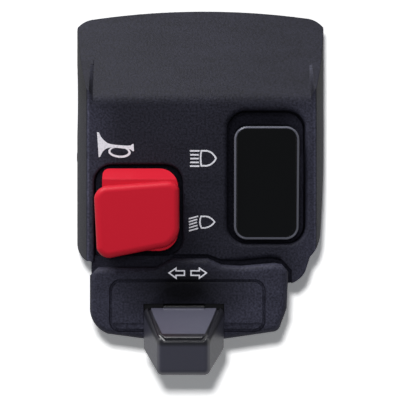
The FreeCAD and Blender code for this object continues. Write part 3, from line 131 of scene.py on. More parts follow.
# how far the controls move at their limits, and where the trigger's pin is
HORN_TRAVEL = 2.0 * MM
CANCEL_TRAVEL = 1.4 * MM
TRIGGER_PIVOT_X = -9.0 * MM
TRIGGER_PULL = np.radians(5)
# between these lie most values of a noise
NOISE_SPAN = (0.3, 0.7)
# the colour sockets of a Mix node: its two inputs and its output
MIX_FIRST, MIX_SECOND, MIX_RESULT = 6, 7, 2
# each lamp's place and size
LAMPS = {
    "key": ((-0.22, -0.22, 0.46), 0.36),
    "fill": ((-0.01, -0.55, 0.015), 0.1),
    "top": ((-0.16, -0.07, 0.36), 0.2),
    "back": ((0.04, 0.5, 0.06), 0.2),
    "card": ((-0.012, -0.55, 0.015), 0.02),
}
# half the side of the white card and its gap behind the cluster
CARD_HALF = 0.16
CARD_GAP = 2 * MM
# world rays turn white between these parts of their length along Y
ROOM_WHITE = (-0.75, -0.15)


# Sizes and colours that a user may change


def hex_colour(name, description, default):
    """A colour property, kept as an sRGB hex word."""
    return bpy.props.StringProperty(name=name, description=description, default=default)


def length(name, description, default, low, high):
    """A length property in metres."""
    return bpy.props.FloatProperty(
        name=name,
        description=description,
        default=default,
        min=low,
        max=high,
        unit="LENGTH",
        precision=5,
    )


def watts(name, description, default):
    """A lamp's power."""
    return bpy.props.FloatProperty(
        name=name, description=description, default=default, min=0, unit="POWER"
    )


class FinishSettings(bpy.types.PropertyGroup):
    shell: hex_colour("Shell", "Spark-eroded black shells", "#1f1f28")
    button: hex_colour("Horn button", "Satin red button", "#c01c2e")
    rocker: hex_colour("Rocker", "Polished black rocker", "#050608")
    # painted highlight: the rocker's rim is coloured pale where it would catch the light
    rocker_rim_highlight: hex_colour("Rocker's rim", "Rim of the rocker, rubbed pale", "#5c5d68")
    knob: hex_colour("Knob", "Satin black turn-signal knob", "#33333f")
    # painted light: the knob's top is coloured paler where light from above falls on it
    knob_top_light: hex_colour("Knob's top", "Thumb rest on the knob, rubbed pale", "#4c4c5a")
    # painted shade: the rolled edge round the thumb rest is coloured dark
    knob_frame_shade: hex_colour("Knob's frame", "Rolled edge round the thumb rest", "#14141c")
    ink: hex_colour("Ink", "Pad-printed symbols", "#dedee6")
    spark_size: length("Spark size", "Grain of the eroded mould", 0.5 * MM, 0.05 * MM, 2 * MM)
    spark_depth: length("Spark depth", "Height of that grain", 0.1 * MM, 0.0, 0.3 * MM)
    edge_wear: length("Edge softness", "Radius that catches light on edges", 0.25 * MM, 0.0, 1 * MM)


class SymbolSettings(bpy.types.PropertyGroup):
    thickness: length("Ink thickness", "How proud it stands", 0.04 * MM, 0.01 * MM, 0.2 * MM)
    main_stroke: length("Main beam stroke", "Its line width", 0.38 * MM, 0.1 * MM, 1 * MM)
    dipped_stroke: length("Dipped beam stroke", "Its line width", 0.34 * MM, 0.1 * MM, 1 * MM)
    arrow_stroke: length("Arrow stroke", "Line width of the arrows", 0.32 * MM, 0.1 * MM, 1 * MM)


class StageSettings(bpy.types.PropertyGroup):
    camera_distance: length("Camera distance", "From the switch face to the camera", 0.5, 0.1, 3)
    view_width: length("View width", "Width of the picture at the switch face", 0.096, 0.02, 1)
    view_height: length("View height", "Camera's place above the bar's axis", -0.02496, -1, 1)
    key_watts: watts("Key light", "Soft box above the left shoulder", 3.2)
    fill_watts: watts("Fill light", "Small soft box over the camera", 1.0)
    top_watts: watts("Top light", "Soft box overhead, to the left", 0.5)
    back_watts: watts("Back light", "Soft box behind, for views of the rear shell", 2.0)
    card_watts: watts("Card light", "Lamp that lights the white card alone", 1.6)
    ambient: bpy.props.FloatProperty(
        name="Ambient",
        description="Light of the room from all round",
        default=0.2,
        min=0,
        max=1,
        subtype="FACTOR",
    )


# Colours, nodes and materials


def srgb(text):
    """Turns an sRGB hex colour into linear RGBA, channel by channel."""
    channels = np.array([int(text[i : i + 2], 16) for i in (1, 3, 5)]) / 255
    linear = np.where(channels <= 0.04045, channels / 12.92, ((channels + 0.055) / 1.055) ** 2.4)
    return (*linear.tolist(), 1.0)


def add_node(tree, kind, links=(), values=(), stops=(), **settings):
    """Adds a node: settings are its own, values go into its inputs, stops are the places and
    colours of its ramp, and links are (output socket, input) pairs that come into it."""
    made = tree.nodes.new(kind)
    for key, value in settings.items():
        setattr(made, key, value)
    for key, value in values:
        made.inputs[key].default_value = value
    if stops:
        ramp = made.color_ramp.elements
        ramp.remove(ramp[1])
        ramp[0].position, ramp[0].color = stops[0]
        for place, colour in stops[1:]:
            ramp.new(place).color = colour
    for output, key in links:
        tree.links.new(output, made.inputs[key])
    return made


def surface(name, colour, roughness, **settings):
    """A new material with one Principled BSDF. Returns the material and the shader."""
    made = bpy.data.materials.new(name)
    made.use_nodes = True
    shader = made.node_tree.nodes["Principled BSDF"]
    shader.inputs["Base Color"].default_value = srgb(colour)
    shader.inputs["Roughness"].default_value = roughness
    for key, value in settings.items():
        shader.inputs[key.replace("_", " ")].default_value = value
    made.diffuse_color = srgb(colour)
    return made, shader


def grain(material, shader, size, depth, spread, detail=2.0):
    """Noise on Object coordinates whose grains are size across and depth high. It also moves
    the roughness up and down by spread, and the edges are softened. Returns the noise."""
    tree = material.node_tree
    softness = bpy.context.scene.cluster_finish.edge_wear
    place = add_node(tree, "ShaderNodeTexCoord").outputs["Object"]
    noise = add_node(
        tree,
        "ShaderNodeTexNoise",
        [(place, "Vector")],
        [("Scale", 1 / size), ("Detail", detail), ("Roughness", 0.6)],
    ).outputs["Fac"]
    edge = add_node(tree, "ShaderNodeBevel", values=[("Radius", softness)], samples=6)
    bump = add_node(
        tree,
        "ShaderNodeBump",
        [(noise, "Height"), (edge.outputs["Normal"], "Normal")],
        [("Strength", 1.0), ("Distance", depth)],
    )
    tree.links.new(bump.outputs["Normal"], shader.inputs["Normal"])
    base = shader.inputs["Roughness"].default_value
    varied = add_node(
        tree,
        "ShaderNodeMapRange",
        [(noise, "Value")],
        [("From Min", NOISE_SPAN[0]), ("From Max", NOISE_SPAN[1]),
         ("To Min", base - spread), ("To Max", base + spread)],
    )
    tree.links.new(varied.outputs["Result"], shader.inputs["Roughness"])
    return noise


def painted_light_and_smudges(tree):
    """How much paler or darker the shells are painted: painted light makes the sides of the switch
    face and the ends of the nose pale, painted shade makes the nose dark round the knob, and faint
    smudges of random tone run along X. On the face the painted light rises with distance from the
    middle, and at its outermost edge it also follows |x| of the normal: a painted highlight where
    the edge rolls over, and painted shade on the wall. On the nose it rises with the length of the
    vector from the knob's slot, in halves of its patch."""
    coordinates = add_node(tree, "ShaderNodeTexCoord").outputs
    place = coordinates["Object"]
    axes = add_node(tree, "ShaderNodeSeparateXYZ", [(place, 0)]).outputs
    aside = add_node(tree, "ShaderNodeMath", [(axes["X"], 0)], operation="ABSOLUTE").outputs[0]
    normal = add_node(tree, "ShaderNodeSeparateXYZ", [(coordinates["Normal"], 0)]).outputs
    turn = add_node(tree, "ShaderNodeMath", [(normal["X"], 0)], operation="ABSOLUTE").outputs[0]
    # painted highlight and painted shade along the face's outermost edge, by |x| of the normal
    shade = add_node(
        tree,
        "ShaderNodeValToRGB",
        [(turn, "Fac")],
        stops=[(at, (level, level, level, 1.0)) for at, level in EDGE_SHADES],
    )
    paler = add_node(
        tree,
        "ShaderNodeMath",
        [(shade.outputs["Color"], 0)],
        [(1, 1 / EDGE_UNCHANGED)],
        operation="MULTIPLY",
    )
    outer = add_node(
        tree,
        "ShaderNodeMapRange",
        [(aside, "Value")],
        [("From Min", FACE_EDGE[0]), ("From Max", FACE_EDGE[1])],
    )
    edge = add_node(
        tree, "ShaderNodeMix", [(outer.outputs[0], 0), (paler.outputs[0], "B")], [("A", 1.0)]
    )
    # painted light on the sides of the face
    sides = add_node(
        tree,
        "ShaderNodeMapRange",
        [(aside, "Value")],
        [("From Min", FACE_SIDES[0]), ("From Max", FACE_SIDES[1]),
         ("To Min", 1.0), ("To Max", FACE_PALEST)],
        interpolation_type="SMOOTHSTEP",
    )
    below = add_node(
        tree,
        "ShaderNodeMapRange",
        [(axes["Z"], "Value")],
        [("From Min", FACE_TOP[0]), ("From Max", FACE_TOP[1])],
    )
    face = add_node(
        tree, "ShaderNodeMix", [(below.outputs[0], 0), (sides.outputs[0], "B")], [("A", 1.0)]
    )
    # painted shade round the knob's slot and painted light at the ends of the nose
    from_slot = add_node(
        tree,
        "ShaderNodeMapping",
        [(place, "Vector")],
        [("Scale", (1 / SLOT_HALF[0], 0, 1 / SLOT_HALF[1])),
         ("Location", (-SLOT[0] / SLOT_HALF[0], 0, -SLOT[1] / SLOT_HALF[1]))],
    )
    away = add_node(tree, "ShaderNodeVectorMath", [(from_slot.outputs[0], 0)], operation="LENGTH")
    nose = add_node(
        tree,
        "ShaderNodeMapRange",
        [(away.outputs["Value"], "Value")],
        [("From Min", NOSE_FADE[0]), ("From Max", NOSE_FADE[1]),
         ("To Min", NOSE_SHADES[0]), ("To Max", NOSE_SHADES[1])],
    )
    ahead = add_node(
        tree,
        "ShaderNodeMapRange",
        [(axes["Y"], "Value")],
        [("From Min", FACE_Y - NOSE_AHEAD[0]), ("From Max", FACE_Y - NOSE_AHEAD[1])],
    )
    whole = add_node(
        tree,
        "ShaderNodeMix",
        [(ahead.outputs[0], 0), (face.outputs[0], "A"), (nose.outputs[0], "B")],
    )
    drawn = add_node(
        tree, "ShaderNodeMapping", [(place, 0)], [("Scale", (SMUDGE_STRETCH, 1.0, 1.0))]
    )
    smudge = add_node(
        tree,
        "ShaderNodeTexNoise",
        [(drawn.outputs[0], 0)],
        [("Scale", 1 / SMUDGE_HEIGHT), ("Detail", 3.0)],
    )
    faint = add_node(
        tree,
        "ShaderNodeMapRange",
        [(smudge.outputs["Fac"], "Value")],
        [("From Min", NOISE_SPAN[0]), ("From Max", NOISE_SPAN[1]),
         ("To Min", SMUDGE_SHADES[0]), ("To Max", SMUDGE_SHADES[1])],
    )
    smudged = add_node(
        tree,
        "ShaderNodeMath",
        [(whole.outputs[0], 0), (faint.outputs[0], 1)],
        operation="MULTIPLY",
    )
    return add_node(
        tree,
        "ShaderNodeMath",
        [(smudged.outputs[0], 0), (edge.outputs[0], 1)],
        operation="MULTIPLY",
    ).outputs[0]


def shell_plastic(settings):
    """ABS from a spark-eroded mould: matt, with an even grain that breaks up highlights. Its
    pits of about 0.1 mm are drawn as coarse as the settings say, so that they show."""
    made, shader = surface(
        "spark_eroded_black_abs", settings.shell, 0.55, IOR=1.54, Specular_IOR_Level=0.12
    )
    noise = grain(made, shader, settings.spark_size, settings.spark_depth, spread=0.06, detail=3.0)
    tree = made.node_tree
    red, green, blue, _ = srgb(settings.shell)
    tones = add_node(
        tree,
        "ShaderNodeValToRGB",
        [(noise, "Fac")],
        stops=[
            (place, (red * share, green * share, blue * share, 1.0))
            for place, share in ((0.36, 0.62), (0.64, 1.45))
        ],
    )
    # painted light and painted shade, and the smudges, scale the grain's tones
    lit_and_smudged = add_node(
        tree,
        "ShaderNodeVectorMath",
        [(tones.outputs["Color"], 0), (painted_light_and_smudges(tree), "Scale")],
        operation="SCALE",
    )
    tree.links.new(lit_and_smudged.outputs[0], shader.inputs["Base Color"])
    return made


def button_plastic(settings):
    """Red ABS from a blasted mould: satin, with soft highlights along its rounded edges. Its
    pits of about 0.1 mm are drawn 0.5 mm across, so that they show."""
    made, shader = surface(
        "blasted_red_abs", settings.button, 0.42, IOR=1.54, Specular_IOR_Level=0.12
    )
    grain(made, shader, size=0.5 * MM, depth=0.006 * MM, spread=0.04)
    return made


def rocker_plastic(settings):
    """ABS from a polished mould: a near-black mirror with faint handling marks 2.5 mm across, and a
    painted highlight along its rim. The rim is a band of distance from a rounded rectangle: the
    length of what lies past its inner corners."""
    made, shader = surface(
        "polished_black_abs", settings.rocker, 0.14, IOR=1.54, Specular_IOR_Level=0.28
    )
    grain(made, shader, size=2.5 * MM, depth=0.003 * MM, spread=0.03)
    tree = made.node_tree
    place = add_node(tree, "ShaderNodeTexCoord").outputs["Object"]
    centred = add_node(
        tree,
        "ShaderNodeMapping",
        [(place, "Vector")],
        [("Scale", (1, 0, 1)), ("Location", (-ROCKER[0], 0, -ROCKER[1]))],
    )
    folded = add_node(tree, "ShaderNodeVectorMath", [(centred.outputs[0], 0)], operation="ABSOLUTE")
    inner = (ROCKER_HALF[0] - ROCKER_CORNER, 0, ROCKER_HALF[1] - ROCKER_CORNER)
    past = add_node(
        tree, "ShaderNodeVectorMath", [(folded.outputs[0], 0)], [(1, inner)], operation="SUBTRACT"
    )
    outside = add_node(
        tree, "ShaderNodeVectorMath", [(past.outputs[0], 0)], [(1, (0, 0, 0))], operation="MAXIMUM"
    )
    reach = add_node(tree, "ShaderNodeVectorMath", [(outside.outputs[0], 0)], operation="LENGTH")
    share = add_node(
        tree,
        "ShaderNodeMapRange",
        [(reach.outputs["Value"], "Value")],
        [("From Min", ROCKER_CORNER - ROCKER_HIGHLIGHT), ("From Max", ROCKER_CORNER)],
    )
    dark, pale = srgb(settings.rocker), srgb(settings.rocker_rim_highlight)
    # the pale rim colour is a painted highlight
    rim = add_node(
        tree,
        "ShaderNodeValToRGB",
        [(share.outputs[0], "Fac")],
        stops=[(0.1, dark), (0.35, pale), (0.85, pale), (1.0, dark)],
    )
    tree.links.new(rim.outputs["Color"], shader.inputs["Base Color"])
    return made


def knob_plastic(settings):
    """Nylon from a blasted mould: satin, a little shinier than the shells. The middle of its top is
    painted pale as painted light, the rolled edge round it is painted dark as painted shade, and so
    are the neck in the slot and what stands above the top.
    The thumb rest is where the largest of three distances is about 0 or less: past the closing
    sides, past the front end, and below the sloping top. The mould's pits of about 0.1 mm are
    drawn 0.4 mm across, so that they show."""
    made, shader = surface(
        "blasted_black_nylon", settings.knob, 0.34, IOR=1.53, Specular_IOR_Level=0.7
    )
    grain(made, shader, size=0.4 * MM, depth=0.01 * MM, spread=0.05)
    tree = made.node_tree
    place = add_node(tree, "ShaderNodeTexCoord").outputs["Object"]
    axes = add_node(tree, "ShaderNodeSeparateXYZ", [(place, 0)]).outputs
    centred = add_node(tree, "ShaderNodeMath", [(axes["X"], 0)], [(1, -KNOB_X)], operation="ADD")
    aside = add_node(tree, "ShaderNodeMath", [(centred.outputs[0], 0)], operation="ABSOLUTE")
    taper = add_node(
        tree,
        "ShaderNodeMath",
        [(axes["Y"], 0), (aside.outputs[0], 2)],
        [(1, -KNOB_TAPER)],
        operation="MULTIPLY_ADD",
    )
    past_side = add_node(
        tree,
        "ShaderNodeMath",
        [(taper.outputs[0], 0)],
        [(1, KNOB_PAD_HALF - KNOB_NECK * KNOB_TAPER)],
        operation="SUBTRACT",
    )
    past_front = add_node(
        tree, "ShaderNodeMath", [(axes["Y"], 1)], [(0, KNOB_PAD_FRONT)], operation="SUBTRACT"
    )
    height = add_node(
        tree, "ShaderNodeVectorMath", [(place, 0)], [(1, KNOB_TOP_NORMAL)], operation="DOT_PRODUCT"
    )
    below = add_node(
        tree,
        "ShaderNodeMath",
        [(height.outputs["Value"], 1)],
        [(0, KNOB_NECK * KNOB_TOP_NORMAL[1] + KNOB_NECK_TOP * KNOB_TOP_NORMAL[2])],
        operation="SUBTRACT",
    )
    sides = add_node(
        tree,
        "ShaderNodeMath",
        [(past_side.outputs[0], 0), (past_front.outputs[0], 1)],
        operation="MAXIMUM",
    )
    past = add_node(
        tree, "ShaderNodeMath", [(sides.outputs[0], 0), (below.outputs[0], 1)], operation="MAXIMUM"
    )
    pad = add_node(
        tree,
        "ShaderNodeMapRange",
        [(past.outputs[0], "Value")],
        [("From Min", KNOB_PAD_FADE[0]), ("From Max", KNOB_PAD_FADE[1])],
    )
    frame_share = add_node(
        tree,
        "ShaderNodeMapRange",
        [(below.outputs[0], "Value")],
        [("From Min", KNOB_FRAME_FADE[0]), ("From Max", KNOB_FRAME_FADE[1])],
    )
    neck = add_node(
        tree,
        "ShaderNodeMapRange",
        [(axes["Y"], "Value")],
        [("From Min", KNOB_NECK), ("From Max", KNOB_NECK + KNOB_NECK_FADE)],
    )
    above = add_node(
        tree,
        "ShaderNodeMapRange",
        [(below.outputs[0], "Value")],
        [("From Min", KNOB_ABOVE_FADE[0]), ("From Max", KNOB_ABOVE_FADE[1])],
    )
    # painted shade: the neck inside the slot and what stands above the top are coloured near black
    slot_shade = add_node(
        tree, "ShaderNodeMath", [(neck.outputs[0], 0), (above.outputs[0], 1)], operation="MAXIMUM"
    )
    # painted shade on the rolled edge, then painted light on the thumb rest
    framed = add_node(
        tree,
        "ShaderNodeMix",
        [(frame_share.outputs[0], 0)],
        [(MIX_FIRST, srgb(settings.knob)), (MIX_SECOND, srgb(settings.knob_frame_shade))],
        data_type="RGBA",
    )
    topped = add_node(
        tree,
        "ShaderNodeMix",
        [(pad.outputs[0], 0), (framed.outputs[MIX_RESULT], MIX_FIRST)],
        [(MIX_SECOND, srgb(settings.knob_top_light))],
        data_type="RGBA",
    )
    # the rocker's near-black colour stands in for the shade in the slot
    shaded = add_node(
        tree,
        "ShaderNodeMix",
        [(slot_shade.outputs[0], 0), (topped.outputs[MIX_RESULT], MIX_FIRST)],
        [(MIX_SECOND, srgb(settings.rocker))],
        data_type="RGBA",
    )
    tree.links.new(shaded.outputs[MIX_RESULT], shader.inputs["Base Color"])
    return made


def slide_plastic(settings):
    """Acetal for slides and covers: smooth and waxy, with flow marks 0.8 mm across."""
    made, shader = surface("natural_black_acetal", "#1d1d20", 0.35, IOR=1.48)
    grain(made, shader, size=0.8 * MM, depth=0.004 * MM, spread=0.04)
    return made


def board_laminate(settings):
    """Paper laminate, punched: brown, with faint streaks of fibre along X."""
    made, shader = surface("punched_paper_laminate", "#7a4a26", 0.5, IOR=1.55)
    tree = made.node_tree
    place = add_node(tree, "ShaderNodeTexCoord").outputs["Object"]
    thin = FIBRE_LENGTH / FIBRE_THICKNESS
    along = add_node(tree, "ShaderNodeMapping", [(place, "Vector")], [("Scale", (1.0, thin, thin))])
    fibre = add_node(
        tree,
        "ShaderNodeTexNoise",
        [(along.outputs["Vector"], "Vector")],
        [("Scale", 1 / FIBRE_LENGTH), ("Detail", 4.0)],
    )
    tones = add_node(
        tree,
        "ShaderNodeValToRGB",
        [(fibre.outputs["Fac"], "Fac")],
        stops=[(0.0, srgb("#6b3d1d")), (1.0, srgb("#8d5a31"))],
    )
    tree.links.new(tones.outputs["Color"], shader.inputs["Base Color"])
    return made


def plated_steel(settings):
    """Zinc-plated steel: pale and faintly mottled, in flecks 0.6 mm across."""
    made, shader = surface("zinc_plated_steel", "#b9bcc2", 0.3, Metallic=1.0)
    grain(made, shader, size=0.6 * MM, depth=0.003 * MM, spread=0.08, detail=3.0)
    return made


def rolled_brass(settings):
    """Brass strip, stamped: warm, with a finely pitted skin from the rolls. Its pits are drawn
    0.3 mm across, so that they show."""
    made, shader = surface("rolled_brass", "#c9a052", 0.28, Metallic=1.0)
    grain(made, shader, size=0.3 * MM, depth=0.002 * MM, spread=0.06, detail=3.0)
    return made


def moulded_rubber(settings):
    """Moulded rubber: dull, with a dusty bloom in specks 0.5 mm across."""
    made, shader = surface("moulded_black_rubber", "#17171a", 0.75, IOR=1.52)
    grain(made, shader, size=0.5 * MM, depth=0.01 * MM, spread=0.08, detail=3.0)
    return made


def pad_ink(settings):
    """Pad-printing ink: flat white with a slightly uneven film, in patches 0.5 mm across."""
    made, shader = surface("white_pad_ink", settings.ink, 0.6, IOR=1.5)
    tree = made.node_tree
    place = add_node(tree, "ShaderNodeTexCoord").outputs["Object"]
    cover = add_node(
        tree,
        "ShaderNodeTexNoise",
        [(place, "Vector")],
        [("Scale", 1 / INK_PATCH), ("Detail", 2.0)],
    )
    tones = add_node(
        tree,
        "ShaderNodeValToRGB",
        [(cover.outputs["Fac"], "Fac")],
        stops=[(0.25, srgb("#c3c3cc")), (0.55, srgb(settings.ink))],
    )
    tree.links.new(tones.outputs["Color"], shader.inputs["Base Color"])
    return made


def coat(slot, finish):
    """Gives every CAD node in one of the record's material slots the same new material."""
    nodes = [row["node"] for row in frame["record"]["subparts"] if row["material_slot"] == slot]
    if not nodes:
        raise RuntimeError(f"no node has the material slot {slot}")
    material = finish(bpy.context.scene.cluster_finish)
    for name in nodes:
        mesh = frame["nodes"][name].data
        mesh.materials.clear()
        mesh.materials.append(material)


# Printed symbols


def on_face(points, depth):
    """Columns and rows of the picture to x and z on the plane y = depth: each ray from the
    camera is carried on until it meets that plane."""
    stage = bpy.context.scene.cluster_stage
    points = np.asarray(points, float)
    reach = stage.camera_distance + depth - FACE_Y
    step = stage.view_width / PICTURE * reach / stage.camera_distance
    x = (points[:, 0] - PICTURE / 2) * step
    z = stage.view_height + (PICTURE / 2 - points[:, 1]) * step
    return np.column_stack((x, z))


def resample(points, count):
    """count points at equal steps of length along straight runs between points."""
    run = np.r_[0, np.cumsum(np.hypot(*np.diff(points, axis=0).T))]
    at = np.linspace(0, run[-1], count)
    return np.column_stack([np.interp(at, run, points[:, k]) for k in (0, 1)])


def edges_of(points, width, closed):
    """The two sides of a line width wide: each point moved half of it along the mitre, which is
    the mean of the normals of the runs before and after it, over the cosine of half the turn. The
    mitre of a sharp turn is cut short."""
    if closed:
        before = points - np.roll(points, 1, axis=0)
        after = np.roll(points, -1, axis=0) - points
    else:
        runs = np.diff(points, axis=0)
        before = np.vstack((runs[:1], runs))
        after = np.vstack((runs, runs[-1:]))
    before /= np.hypot(*before.T)[:, None]
    after /= np.hypot(*after.T)[:, None]
    mean = before + after
    mean /= np.hypot(*mean.T)[:, None]
    cosine = np.clip((mean * after).sum(1), SHARPEST, 1)
    shift = np.column_stack((-mean[:, 1], mean[:, 0])) * (width / 2 / cosine)[:, None]
    return points + shift, points - shift


def film(name, parts, depth, share=1.0):
    """A film of ink on the plane y = depth, from parts of (one edge, other edge, closed).
    Each cross-section is a rectangle: from the plane out to the ink's face and back. An open
    part ends in a point at its middle, so that it is shut. A film that runs under another one
    has a share of its thickness."""
    settings = bpy.context.scene.cluster_symbols
    out = depth - settings.thickness * share
    sunk = depth + settings.thickness
    corners, quads, used = [], [], 0
    for one, other, closed in parts:
        if not closed:
            start = (one[:1] + other[:1]) / 2
            end = (one[-1:] + other[-1:]) / 2
            one = np.vstack((start, one, end))
            other = np.vstack((start, other, end))
        rows = [(one, sunk), (one, out), (other, out), (other, sunk)]
        grid = np.stack([np.column_stack((e[:, 0], np.full(len(e), y), e[:, 1])) for e, y in rows])
        count = grid.shape[1]
        index = np.arange(4 * count).reshape(4, count) + used
        index = np.vstack((index, index[:1]))
        if closed:
            index = np.column_stack((index, index[:, :1]))
        faces = np.stack((index[:-1, :-1], index[:-1, 1:], index[1:, 1:], index[1:, :-1]), axis=-1)
        corners.append(grid.reshape(-1, 3))
        quads.append(faces.reshape(-1, 4))
        used += 4 * count
    mesh = bpy.data.meshes.new(name)
    mesh.from_pydata(np.vstack(corners).tolist(), [], np.vstack(quads).tolist())
    return finish_ink(name, mesh)


def finish_ink(name, mesh):
    """Shuts the poles, turns the faces outwards and sets the ink on the housing."""
    work = bmesh.new()
    work.from_mesh(mesh)
    bmesh.ops.remove_doubles(work, verts=work.verts, dist=SAME_PLACE)
    bmesh.ops.recalc_face_normals(work, faces=work.faces)
    work.to_mesh(mesh)
    work.free()
    ink = bpy.data.materials.get("white_pad_ink") or pad_ink(bpy.context.scene.cluster_finish)
    mesh.materials.append(ink)
    made = bpy.data.objects.new(name, mesh)
    bpy.context.scene.collection.objects.link(made)
    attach(made, "housing")
    return made


def stroke(points, width, depth, closed=False):
    """One line of ink through picture places, as a part for film()."""
    return (*edges_of(on_face(points, depth), width, closed), closed)


# the least cosine of half a turn in a line, and how near two corners of the ink count as one
SHARPEST = 0.35
SAME_PLACE = 1e-7

# Places of the symbols in the picture: columns and rows
HORN_UPPER = [
    (97.0, 132.3), (98.9, 132.3), (100.7, 136.4), (103.4, 139.8), (107.3, 142.9), (110.4, 144.0),
    (115.5, 144.8), (122.4, 145.4), (127.6, 145.7), (130.7, 145.5), (132.4, 144.0), (133.6, 143.8),
]
HORN_LOWER = [
    (98.7, 157.1), (100.2, 156.7), (101.3, 154.3), (102.6, 151.9), (104.5, 149.8), (107.3, 148.1),
    (110.5, 147.5), (118.0, 147.9), (127.6, 149.0), (130.7, 149.5), (132.6, 151.1), (134.0, 151.2),
]
# the loop of tube: middle and half sizes of its outside and of its hole, and its lean
HORN_RING = (119.5, 152.0), (11.2, 5.7)
HORN_RING_HOLE = (119.4, 151.6), (8.95, 4.0)
RING_TILT = np.radians(4.5)
# how many points the bell's edges and the loop have, and the loop's share of the ink's thickness
BELL_POINTS = 60
RING_POINTS = 64
RING_SHARE = 0.7
# the rays: left end, right end and row, then both ends of each slanting one
MAIN_BARS = [
    (189.9, 199.5, 150.9), (190.2, 198.7, 154.8), (190.2, 198.7, 158.6), (190.2, 198.7, 162.4),
    (189.9, 199.5, 166.1),
]
MAIN_LAMP = [
    (201.4, 150.8), (206.8, 150.8), (210.0, 151.8), (212.6, 153.6), (214.6, 155.9), (216.0, 158.3),
    (214.6, 160.9), (212.6, 163.0), (210.0, 164.8), (206.6, 165.8), (201.3, 165.8), (200.8, 162.2),
    (200.6, 158.3), (200.8, 154.4),
]
DIPPED_BARS = [
    (188.7, 218.8, 198.1, 216.2), (188.7, 221.9, 197.2, 219.3), (189.0, 224.7, 196.9, 222.3),
    (189.0, 227.8, 197.5, 225.3), (189.0, 230.8, 198.2, 228.3),
]
DIPPED_LAMP = [
    (201.0, 216.4), (205.4, 216.3), (208.8, 217.0), (211.6, 218.7), (213.4, 220.4), (214.6, 222.0),
    (213.2, 223.8), (211.2, 225.5), (208.6, 226.9), (205.2, 227.9), (201.6, 228.0), (200.3, 225.2),
    (199.9, 222.1), (200.2, 219.0),
]
ARROW_LEFT = [
    (169.0, 272.9), (176.0, 268.2), (176.0, 270.8), (184.4, 270.8), (184.4, 275.3), (176.0, 275.3),
    (176.0, 278.1),
]
ARROW_MIDDLE = 187.7


# Operators, one for each group of like pieces


class CLUSTER_OT_shells(bpy.types.Operator):
    """Finishes the two shells and the bezel in the nose"""

    bl_idname = "cluster.shells"
    bl_label = "Shells and Bezel"

    def execute(self, context):
        coat("housing_plastic", shell_plastic)
        return {"FINISHED"}


class CLUSTER_OT_controls(bpy.types.Operator):
    """Finishes the horn button, the dimmer rocker, the turn-signal knob and the trigger"""

    bl_idname = "cluster.controls"
    bl_label = "Button, Rocker, Knob and Trigger"

    def execute(self, context):
        coat("button_red", button_plastic)
        coat("gloss_black", rocker_plastic)
        coat("knob_plastic", knob_plastic)
        return {"FINISHED"}


class CLUSTER_OT_works(bpy.types.Operator):
    """Finishes the slides, contact boards, springs, screws, contacts and the grommet"""

    bl_idname = "cluster.works"
    bl_label = "Inner Works and Screws"

    def execute(self, context):
        coat("inner_plastic", slide_plastic)
        coat("board_laminate", board_laminate)
        coat("steel", plated_steel)
        coat("brass", rolled_brass)
        coat("rubber", moulded_rubber)
        return {"FINISHED"}


class CLUSTER_OT_springs(bpy.types.Operator):
    """Gives each of the horn, cancel and flash return springs a mesh of its own"""

    bl_idname = "cluster.springs"
    bl_label = "Return Springs"

    def execute(self, context):
        low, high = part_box("flash_spring")
        arm = float(low[0] + high[0]) / 2 - TRIGGER_PIVOT_X
        pulled = abs(arm) * np.sin(TRIGGER_PULL)
        for name, joint, end, travel in (
            ("horn_spring", "horn_press", 0, HORN_TRAVEL),
            ("cancel_spring", "cancel_press", 0, CANCEL_TRAVEL),
            ("flash_spring", "flash_pull", 1, pulled),
        ):
            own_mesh(frame["nodes"][name])
        return {"FINISHED"}


class CLUSTER_OT_horn_symbol(bpy.types.Operator):
    """Prints the horn: a bell that narrows to a tube, with a loop of tube under it"""

    bl_idname = "cluster.horn_symbol"
    bl_label = "Horn Symbol"

    def execute(self, context):
        bell = [resample(on_face(edge, FACE_Y), BELL_POINTS) for edge in (HORN_UPPER, HORN_LOWER)]
        turn = np.linspace(0, 2 * np.pi, RING_POINTS, endpoint=False)
        ring = []
        for (x, y), (across, down) in (HORN_RING, HORN_RING_HOLE):
            dx = across * np.cos(turn)
            dy = down * np.sin(turn)
            tilted = (
                x + dx * np.cos(RING_TILT) - dy * np.sin(RING_TILT),
                y + dx * np.sin(RING_TILT) + dy * np.cos(RING_TILT),
            )
            ring.append(on_face(np.column_stack(tilted), FACE_Y))
        film("horn_symbol_bell", [(*bell, False)], FACE_Y)
        film("horn_symbol_loop", [(*ring, True)], FACE_Y, RING_SHARE)
        return {"FINISHED"}


class CLUSTER_OT_beam_symbols(bpy.types.Operator):
    """Prints the main-beam and dipped-beam lamps: a D in outline and five rays"""

    bl_idname = "cluster.beam_symbols"
    bl_label = "Beam Symbols"

    def execute(self, context):
        settings = context.scene.cluster_symbols
        main = [stroke([(a, y), (b, y)], settings.main_stroke, FACE_Y) for a, b, y in MAIN_BARS]
        dipped = [
            stroke([(a, y), (b, z)], settings.dipped_stroke, FACE_Y) for a, y, b, z in DIPPED_BARS
        ]
        for lamp, width, rays in (
            (MAIN_LAMP, settings.main_stroke, main),
            (DIPPED_LAMP, settings.dipped_stroke, dipped),
        ):
            rays.append(stroke(lamp, width, FACE_Y, True))
        film("main_beam_symbol", main, FACE_Y)
        film("dipped_beam_symbol", dipped, FACE_Y)
        return {"FINISHED"}


class CLUSTER_OT_arrows(bpy.types.Operator):
    """Prints the two turn-signal arrows in outline on the nose"""

    bl_idname = "cluster.arrows"
    bl_label = "Turn-signal Arrows"

    def execute(self, context):
        width = context.scene.cluster_symbols.arrow_stroke
        left = np.array(ARROW_LEFT)
        right = left * (-1, 1) + (ARROW_MIDDLE * 2, 0)
        film("left_arrow", [stroke(left, width, NOSE_Y, True)], NOSE_Y)
        film("right_arrow", [stroke(right, width, NOSE_Y, True)], NOSE_Y)
        return {"FINISHED"}


